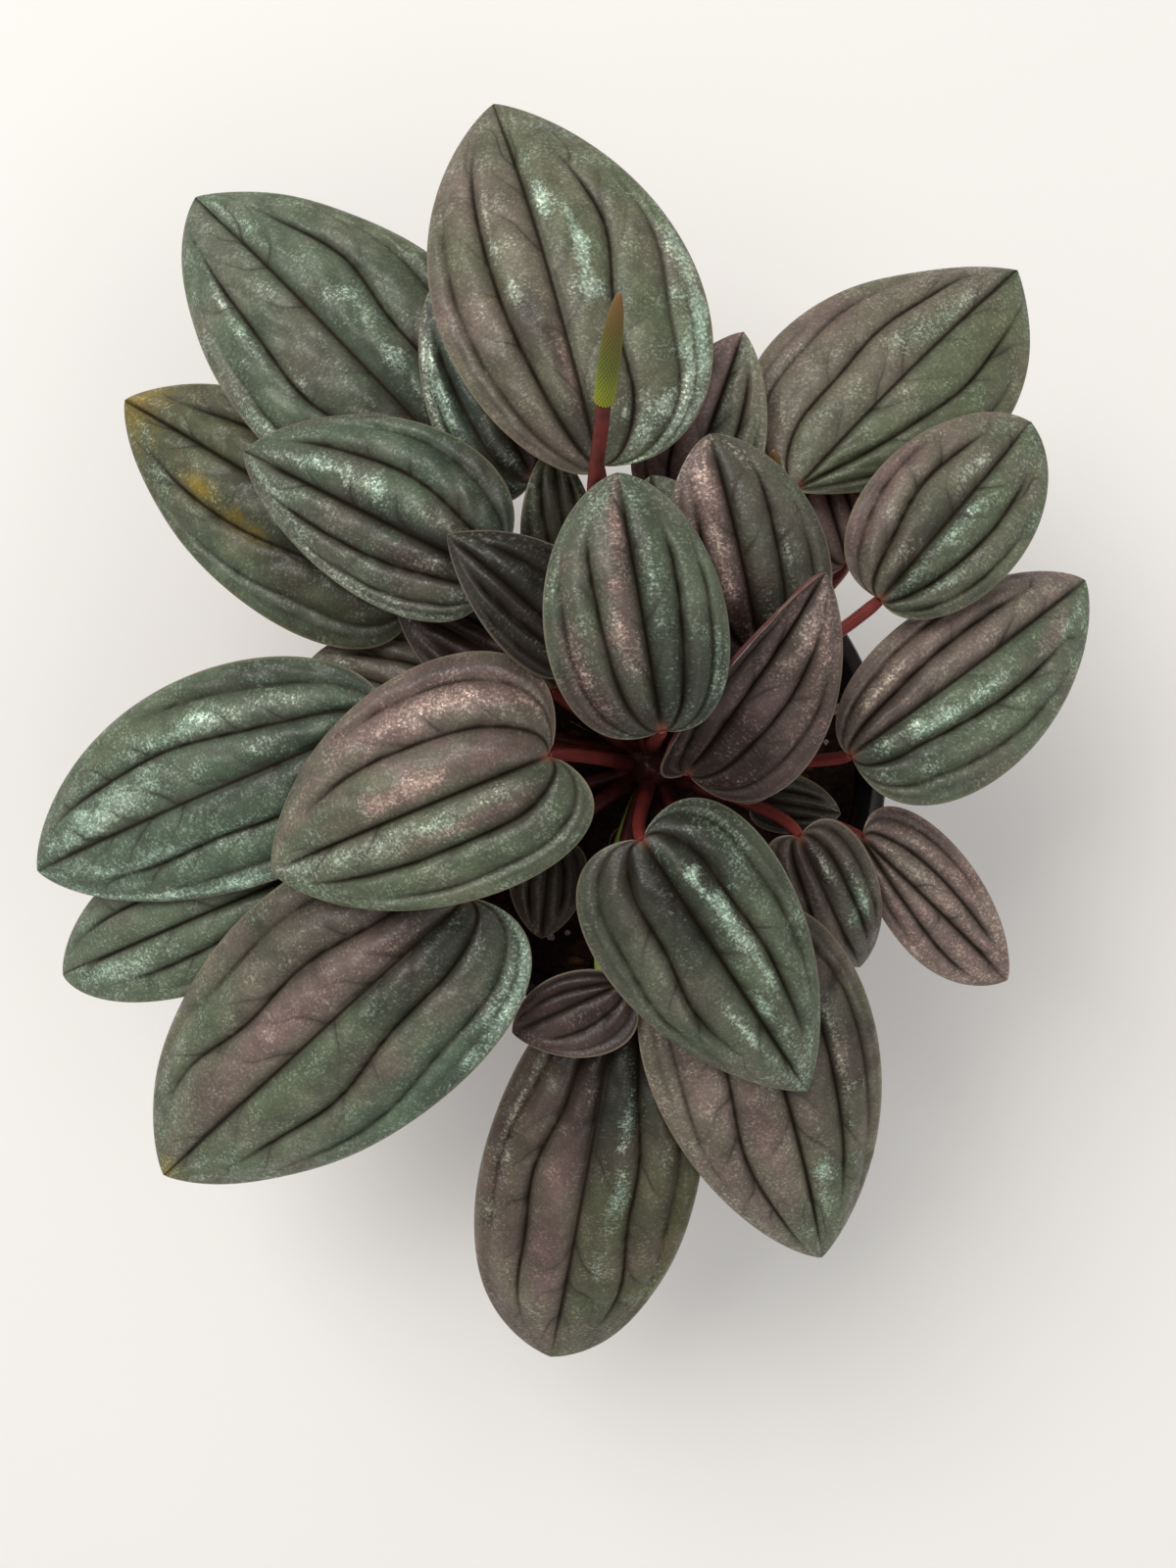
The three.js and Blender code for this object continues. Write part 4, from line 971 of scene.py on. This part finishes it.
def add(tree, kind, links=(), **settings):
    """Adds a node with its settings, then sets or links the inputs named or numbered in links."""
    node = tree.nodes.new(kind)
    for key, value in settings.items():
        setattr(node, key, value)
    for key, value in dict(links).items():
        if isinstance(value, bpy.types.NodeSocket):
            tree.links.new(value, node.inputs[key])
        else:
            node.inputs[key].default_value = value
    return node


def input_name(key):
    """The name of a shader's input as the shader writes it."""
    return key.replace("_", " ").title().replace("Ior", "IOR")


def start_material(name, **uniform):
    """A material with a Principled shader and the values that are the same all over it."""
    material = bpy.data.materials.new(name)
    material.use_nodes = True
    shader = material.node_tree.nodes["Principled BSDF"]
    for key, value in uniform.items():
        shader.inputs[input_name(key)].default_value = value
    return material, material.node_tree, shader


def drive(tree, shader, **sockets):
    """Links what varies over a material to the shader's inputs."""
    for key, socket in sockets.items():
        tree.links.new(socket, shader.inputs[input_name(key)])


def opaque(rgb):
    """A colour with its alpha."""
    return (*rgb, 1)


def mixed(tree, share, first, second, blend="MIX"):
    """Two colours mixed by share. Each is a socket or a plain colour."""
    tints = [tint if isinstance(tint, bpy.types.NodeSocket) else opaque(tint) for tint in (first, second)]
    links = {0: share, 6: tints[0], 7: tints[1]}
    return add(tree, "ShaderNodeMix", links, data_type="RGBA", blend_type=blend).outputs[2]


def scaled(tree, tint, factor):
    """A colour multiplied by a number."""
    return mixed(tree, 1.0, tint, factor, "MULTIPLY")


def worked(tree, operation, *values, **settings):
    """The result of one step of arithmetic."""
    return add(tree, "ShaderNodeMath", dict(enumerate(values)), operation=operation, **settings).outputs[0]


def ranged(tree, value, start, end, low, high, **settings):
    """A value spread anew, so that start becomes low and end becomes high."""
    links = {0: value, 1: start, 2: end, 3: low, 4: high}
    return add(tree, "ShaderNodeMapRange", links, **settings).outputs[0]


def ramped(tree, value, stops):
    """A colour read from a ramp. Each stop is a position and a colour, from 0 to 1."""
    node = add(tree, "ShaderNodeValToRGB", {0: value})
    elements = node.color_ramp.elements
    elements[0].color = opaque(stops[0][1])
    elements[1].color = opaque(stops[-1][1])
    for position, tint in stops[1:-1]:
        elements.new(position).color = opaque(tint)
    return node.outputs[0]


def painted(tree, name):
    """A mask that was painted on the piece."""
    return add(tree, "ShaderNodeAttribute", attribute_name=name).outputs["Fac"]


def object_place(tree):
    """The place of each point in the piece, in metres."""
    return add(tree, "ShaderNodeTexCoord").outputs["Object"]


def clouds(tree, size, detail, roughness=0.5):
    """Random clouds of about that size in millimetres, around 0.5."""
    links = {"Vector": object_place(tree), "Scale": per_metre(size), "Detail": detail,
             "Roughness": roughness}
    return add(tree, "ShaderNodeTexNoise", links).outputs["Fac"]


def mottled(tree, tint, cloud, low, high):
    """A colour made darker and lighter by clouds."""
    return scaled(tree, tint, ranged(tree, cloud, 0.3, 0.7, low, high))


def bumps(tree, height, strength, depth, under=None):
    """Bumps of a depth in millimetres, laid over others if these are given."""
    links = {"Height": height, "Strength": strength, "Distance": depth * MM}
    if under is not None:
        links["Normal"] = under
    return add(tree, "ShaderNodeBump", links).outputs[0]


def upper_skin(settings):
    """Peperomia leaf, upper skin. A grown, waxy skin with a layer of clear water cells over the
    green, which breaks the light into a fine silvery grain. Veins lie in dark sunken lines. The
    colour also carries painted shade near the stalk and in the creases, and painted highlights and
    glints in the silver."""
    material, tree, shader = start_material("peperomia_upper_skin", ior=1.42)
    # Clear cells about 0.4 mm wide make the grain, larger than life so that it shows
    cells = add(tree, "ShaderNodeTexVoronoi", {"Vector": object_place(tree), "Scale": per_metre(0.4)})
    glint = add(tree, "ShaderNodeSeparateColor", {0: cells.outputs["Color"]}).outputs[0]
    # Fine wrinkles lie across the ridges, 0.5 mm apart and about 2 mm long
    wrinkle_place = add(tree, "ShaderNodeCombineXYZ", {
        0: worked(tree, "MULTIPLY", painted(tree, "skin_across"), 0.5),
        1: worked(tree, "MULTIPLY", painted(tree, "skin_along"), 2.0)}).outputs[0]
    wrinkles = add(tree, "ShaderNodeTexNoise", {"Vector": wrinkle_place, "Scale": 1.0, "Detail": 3.0,
                                               "Roughness": 0.65}).outputs["Fac"]

    mauve = painted(tree, "mauve")
    green = ramped(tree, painted(tree, "tone"), (
        (0, settings.blue_green), (0.4, settings.sage), (0.62, settings.olive), (1, settings.yellow)))
    skin = mixed(tree, mauve, green, settings.mauve)
    # Painted shade, with some darker pigment: the skin goes towards deep green or deep maroon by the
    # darkening share
    dark = mixed(tree, mauve, settings.shade, settings.maroon)
    silver_and_highlight_tint = mixed(tree, mauve, settings.mint_silver_and_highlight, settings.rose_silver_and_highlight)
    skin = mixed(tree, painted(tree, "shade_and_dark_pigment"), skin, dark)
    # The silver, partly painted highlight, breaks up along the wrinkles, with ragged edges
    silvering_and_highlight = worked(tree, "ADD", painted(tree, "silvering_and_highlight"), worked(tree, "MULTIPLY_ADD", wrinkles, 0.8, -0.4))
    silvering_and_highlight = worked(tree, "ADD", silvering_and_highlight, worked(tree, "MULTIPLY_ADD", glint, 0.3, -0.15))
    silvering_and_highlight = ranged(tree, silvering_and_highlight, 0.12, 0.88, 0.0, 1.0, interpolation_type="SMOOTHSTEP")
    skin = mottled(tree, mixed(tree, silvering_and_highlight, skin, silver_and_highlight_tint), clouds(tree, 6, 5.0), 0.74, 1.22)
    # Painted glints: the grain lightens and darkens the colour, strongly in the silver with its painted
    # highlight, softly on the dull skin
    swing = worked(tree, "MULTIPLY_ADD", worked(tree, "POWER", glint, 2.2), 0.93, -0.28)
    sparkle = ranged(tree, silvering_and_highlight, 0.0, 1.0, 0.5, 1.25)
    skin = scaled(tree, skin, worked(tree, "MULTIPLY_ADD", swing, sparkle, 1.0))
    # Painted shade, with some dark pigment, in the creases beside the veins
    skin = mixed(tree, worked(tree, "MULTIPLY", painted(tree, "crease"), 0.68), skin, settings.vein)

    # Each sunken rib carries a dark line about half a millimetre wide, and each side vein a finer one
    rib_count, rib_gap = painted(tree, "rib_count"), painted(tree, "rib_gap")
    to_rib = worked(tree, "SUBTRACT", rib_count, worked(tree, "ROUND", rib_count))
    to_rib = worked(tree, "MULTIPLY", worked(tree, "ABSOLUTE", to_rib), rib_gap)
    line = ranged(tree, to_rib, 0.1, 0.62, 0.9, 0.0)
    line = worked(tree, "MULTIPLY", line, painted(tree, "rib_power"))
    skin = mixed(tree, line, skin, settings.vein)
    to_side = worked(tree, "SUBTRACT", worked(tree, "FRACT", painted(tree, "side_count")), 0.5)
    to_side = worked(tree, "MULTIPLY", worked(tree, "ABSOLUTE", to_side),
                     SIDE_VEIN_SPACING / SIDE_VEIN_SLANT)
    fine = ranged(tree, to_side, 0.05, 0.4, 0.58, 0.0)
    fine = worked(tree, "MULTIPLY", fine, painted(tree, "side_power"))
    skin = mixed(tree, fine, skin, settings.vein)
    # A pale line about 0.4 mm wide runs round the margin
    inset = worked(tree, "SUBTRACT", 3.0, worked(tree, "ABSOLUTE", rib_count))
    inset = worked(tree, "MULTIPLY", inset, rib_gap)
    skin = mixed(tree, ranged(tree, inset, 0.1, 0.5, 0.6, 0.0), skin, settings.margin)
    skin = mixed(tree, painted(tree, "heart"), skin, settings.heart)

    # The bottoms of the ribs don't shine
    rough = worked(tree, "MULTIPLY_ADD", line, 0.4, ranged(tree, glint, 0.0, 1.0, 0.5, 0.3))
    shine = worked(tree, "MULTIPLY_ADD", line, -0.5, 0.5)
    folds = bumps(tree, wrinkles, 0.6, 0.16)
    drive(tree, shader, base_color=skin, metallic=worked(tree, "MULTIPLY", silvering_and_highlight, 0.3), roughness=rough,
          specular_ior_level=shine, normal=bumps(tree, glint, 0.5, 0.09, folds))
    return material


def lower_skin(settings):
    """Peperomia leaf, lower skin. Grown, matt and wine red, paler along the raised ribs."""
    material, tree, shader = start_material("peperomia_lower_skin", ior=1.42, roughness=0.6)
    skin = mottled(tree, settings.underside, clouds(tree, 9, 4.0), 0.75, 1.15)
    ribbed = mixed(tree, painted(tree, "crease"), skin, linear("#8d4f47"))
    drive(tree, shader, base_color=ribbed, normal=bumps(tree, clouds(tree, 0.5, 2.0), 0.3, 0.1))
    return material


def margin_skin(settings):
    """Peperomia leaf, margin. The rounded edge of the blade, dull and a little paler than the skin."""
    material, tree, shader = start_material("peperomia_margin", ior=1.42, roughness=0.55)
    edge = mixed(tree, painted(tree, "mauve"), settings.margin, linear("#6b5248"))
    drive(tree, shader, base_color=mottled(tree, edge, clouds(tree, 3, 3.0), 0.6, 1.1))
    return material


def stalk_skin(settings):
    """Peperomia stalk. A fleshy, water-filled stem, smooth and a little translucent, dark red at
    the crown and pinker towards the leaf, with soft clouds of both."""
    material, tree, shader = start_material("peperomia_stalk", ior=1.42, roughness=0.42,
                                            subsurface_weight=0.08, subsurface_scale=0.0012)
    cloud = clouds(tree, 4, 5.0)
    share = worked(tree, "ADD", worked(tree, "SUBTRACT", cloud, 0.5), painted(tree, "along"),
                   use_clamp=True)
    share = ranged(tree, share, 0.02, 0.6, 0.0, 1.0)
    skin = mixed(tree, share, settings.dark_red, settings.red)
    skin = mixed(tree, painted(tree, "green"), skin, settings.green)
    skin = mixed(tree, painted(tree, "dry"), skin, settings.straw)
    drive(tree, shader, base_color=mottled(tree, skin, cloud, 0.8, 1.15),
          normal=bumps(tree, clouds(tree, 0.6, 3.0), 0.35, 0.1))
    return material


def floret_skin(settings):
    """Peperomia flower spike. Crowded tiny florets, yellow-green where fresh and brown where spent."""
    material, tree, shader = start_material("peperomia_florets", ior=1.42, roughness=0.6)
    skin = ramped(tree, painted(tree, "along"), (
        (0, settings.spike_foot), (0.14, linear("#828a2a")), (0.35, linear("#656f2b")),
        (0.7, linear("#6b5c2c")), (1, settings.spike_tip)))
    # Painted shade in the hollows between the florets, and painted light on their tops
    pale = ranged(tree, painted(tree, "floret"), -1.0, 1.0, 0.62, 1.3)
    drive(tree, shader, base_color=scaled(tree, skin, pale))
    return material


def pot_plastic(settings):
    """Polypropylene, injection moulded, black. Slightly glossy, with a fine moulded grain and dust."""
    material, tree, shader = start_material("black_polypropylene", ior=1.49)
    scuffs = clouds(tree, 14, 8.0, 0.65)
    dust = ranged(tree, scuffs, 0.42, 0.75, 0.0, 0.3)
    drive(tree, shader, base_color=mixed(tree, dust, settings.plastic, linear("#6f6862")),
          roughness=ranged(tree, scuffs, 0.35, 0.7, 0.34, 0.6),
          normal=bumps(tree, clouds(tree, 0.7, 2.0), 0.25, 0.08))
    return material


def earthy(name, tint, dark, speck, rough):
    """A rough natural grain, mottled between a tint and its dark form at a speck size in millimetres."""
    material, tree, shader = start_material(name, ior=1.4, roughness=rough)
    specks = clouds(tree, speck, 6.0, 0.6)
    share = ranged(tree, specks, 0.35, 0.68, 0.0, 1.0)
    drive(tree, shader, base_color=mixed(tree, share, dark, tint), normal=bumps(tree, specks, 0.8, 0.25))
    return material


def soil_materials(settings):
    """Milled peat, shredded bark, coir thread and expanded perlite. All are milled, torn or
    puffed up, so they give the eye rough, mottled grains without any gloss."""
    return [
        earthy("milled_peat", settings.peat, linear("#0d0806"), 1.6, 0.95),
        earthy("shredded_bark", settings.bark, linear("#2b190f"), 1.2, 0.85),
        earthy("coir_thread", settings.fibre, linear("#6a4a2e"), 1.0, 0.8),
        earthy("expanded_perlite", settings.perlite, linear("#a39988"), 0.5, 0.9),
    ]


def floor_paint(settings):
    """Painted board, rolled matt white. It gives the eye only a faint unevenness."""
    material, tree, shader = start_material("matt_painted_board", ior=1.45, roughness=0.85)
    share = ranged(tree, clouds(tree, 180, 2.0), 0.0, 1.0, 0.97, 1.0)
    drive(tree, shader, base_color=scaled(tree, settings.floor, share))
    return material


# Operators

class GrowLeaves(bpy.types.Operator):
    """Model every leaf blade over its solid"""
    bl_idname = "peperomia.grow_leaves"
    bl_label = "Grow leaves"

    def execute(self, context):
        settings = context.scene.peperomia_leaf
        materials = [upper_skin(settings), lower_skin(settings), margin_skin(settings)]
        for name, leaf in LEAVES.items():
            grow_leaf(name, leaf, LOOKS[name], settings.blade, materials)
        return {"FINISHED"}


class GrowStalks(bpy.types.Operator):
    """Model the crown with every leaf stalk and flower stalk"""
    bl_idname = "peperomia.grow_stalks"
    bl_label = "Grow stalks"

    def execute(self, context):
        settings = context.scene.peperomia_stalk
        pieces = [grow_crown()]
        for name, leaf in LEAVES.items():
            pieces.append(leaf_stalk(leaf, settings.radius))
            paint(pieces[-1], green=float(name == GREEN_STALK))
        for spike in SPIKES.values():
            stalk = tube(eased(spike["stalk"]), (1, 1, 1, 1), spike["radius"] * SPIKE_STALK * MM)
            paint(stalk, along=0.35)
            pieces.append(stalk)
        bare = tube(eased(BARE_STALK), (1, 1, 1, 1), BARE_STALK_RADIUS * MM)
        paint(bare, dry=1.0)
        pieces.append(bare)
        for piece in pieces:
            piece.data.materials.clear()
        stalks = join(pieces)
        stalks.data.materials.append(stalk_skin(settings))
        hand_over(stalks, "crown_with_stalks", "stalk", "crown_and_stalks", angle=60)
        return {"FINISHED"}


class GrowSpikes(bpy.types.Operator):
    """Model the two flower spikes"""
    bl_idname = "peperomia.grow_spikes"
    bl_label = "Grow flower spikes"

    def execute(self, context):
        material = floret_skin(context.scene.peperomia_stalk)
        for name, spike in SPIKES.items():
            grow_spike(name, spike, material)
        return {"FINISHED"}


class MouldPot(bpy.types.Operator):
    """Model the nursery pot"""
    bl_idname = "peperomia.mould_pot"
    bl_label = "Mould pot"

    def execute(self, context):
        settings = context.scene.peperomia_pot
        mould_pot(settings, pot_plastic(settings))
        return {"FINISHED"}


class FillSoil(bpy.types.Operator):
    """Model the potting soil with its crumbs, chips, threads and grains"""
    bl_idname = "peperomia.fill_soil"
    bl_label = "Fill soil"

    def execute(self, context):
        fill_soil(soil_materials(context.scene.peperomia_pot))
        return {"FINISHED"}


class SetStage(bpy.types.Operator):
    """Lay the floor, hang the lights and set the camera straight above the plant"""
    bl_idname = "peperomia.set_stage"
    bl_label = "Set stage"

    def execute(self, context):
        settings = context.scene.peperomia_stage
        deselect()
        bpy.ops.mesh.primitive_plane_add(size=8)
        floor = context.object
        floor.name = "floor"
        floor.data.materials.append(floor_paint(settings))

        world = bpy.data.worlds.new("soft_room")
        context.scene.world = world
        world.use_nodes = True
        background = world.node_tree.nodes["Background"]
        background.inputs["Color"].default_value = (1, 1, 1, 1)
        background.inputs["Strength"].default_value = settings.ambient

        for place, width, share in LIGHTS:
            bpy.ops.object.light_add(type="AREA", location=place)
            light = context.object
            light.data.size = width
            light.data.energy = settings.key * share
            light.data.color = LIGHT_COLOUR
            aim = Vector((0, 0, 0.1)) - Vector(place)
            light.rotation_euler = aim.to_track_quat("-Z", "Y").to_euler()

        x, y = CAMERA_PLACE
        bpy.ops.object.camera_add(location=(x * MM, y * MM, settings.camera_height))
        camera = context.object
        camera.rotation_euler = (0, 0, 0)
        camera.data.lens = settings.lens
        camera.data.sensor_width = 36
        camera.data.clip_start = 0.01
        context.scene.camera = camera
        context.scene.view_settings.view_transform = "Standard"
        return {"FINISHED"}


class PeperomiaPanel(bpy.types.Panel):
    """The plant's operators and settings"""
    bl_idname = "VIEW3D_PT_peperomia"
    bl_label = "Peperomia"
    bl_space_type = "VIEW_3D"
    bl_region_type = "UI"
    bl_category = "Peperomia"

    def draw(self, context):
        for operator in OPERATORS:
            self.layout.operator(operator.bl_idname)
        for name in SETTINGS:
            settings = getattr(context.scene, name)
            box = self.layout.box()
            for key in settings.__annotations__:
                box.prop(settings, key)


OPERATORS = (MouldPot, FillSoil, GrowStalks, GrowSpikes, GrowLeaves, SetStage)
SETTINGS = {
    "peperomia_leaf": PeperomiaLeafSettings,
    "peperomia_stalk": PeperomiaStalkSettings,
    "peperomia_pot": PeperomiaPotSettings,
    "peperomia_stage": PeperomiaStageSettings,
}


def register():
    """Makes the settings, the operators and the panel known to Blender."""
    for kind in (*SETTINGS.values(), *OPERATORS, PeperomiaPanel):
        bpy.utils.register_class(kind)
    for name, kind in SETTINGS.items():
        setattr(bpy.types.Scene, name, bpy.props.PointerProperty(type=kind))


def unregister():
    """Takes them all away again."""
    for name in SETTINGS:
        delattr(bpy.types.Scene, name)
    for kind in (PeperomiaPanel, *reversed(OPERATORS), *reversed(SETTINGS.values())):
        bpy.utils.unregister_class(kind)


def main():
    """Builds the whole plant and its stage."""
    register()
    bpy.ops.peperomia.mould_pot()
    bpy.ops.peperomia.fill_soil()
    bpy.ops.peperomia.grow_stalks()
    bpy.ops.peperomia.grow_spikes()
    bpy.ops.peperomia.grow_leaves()
    bpy.ops.peperomia.set_stage()


if __name__ == "__main__":
    main()
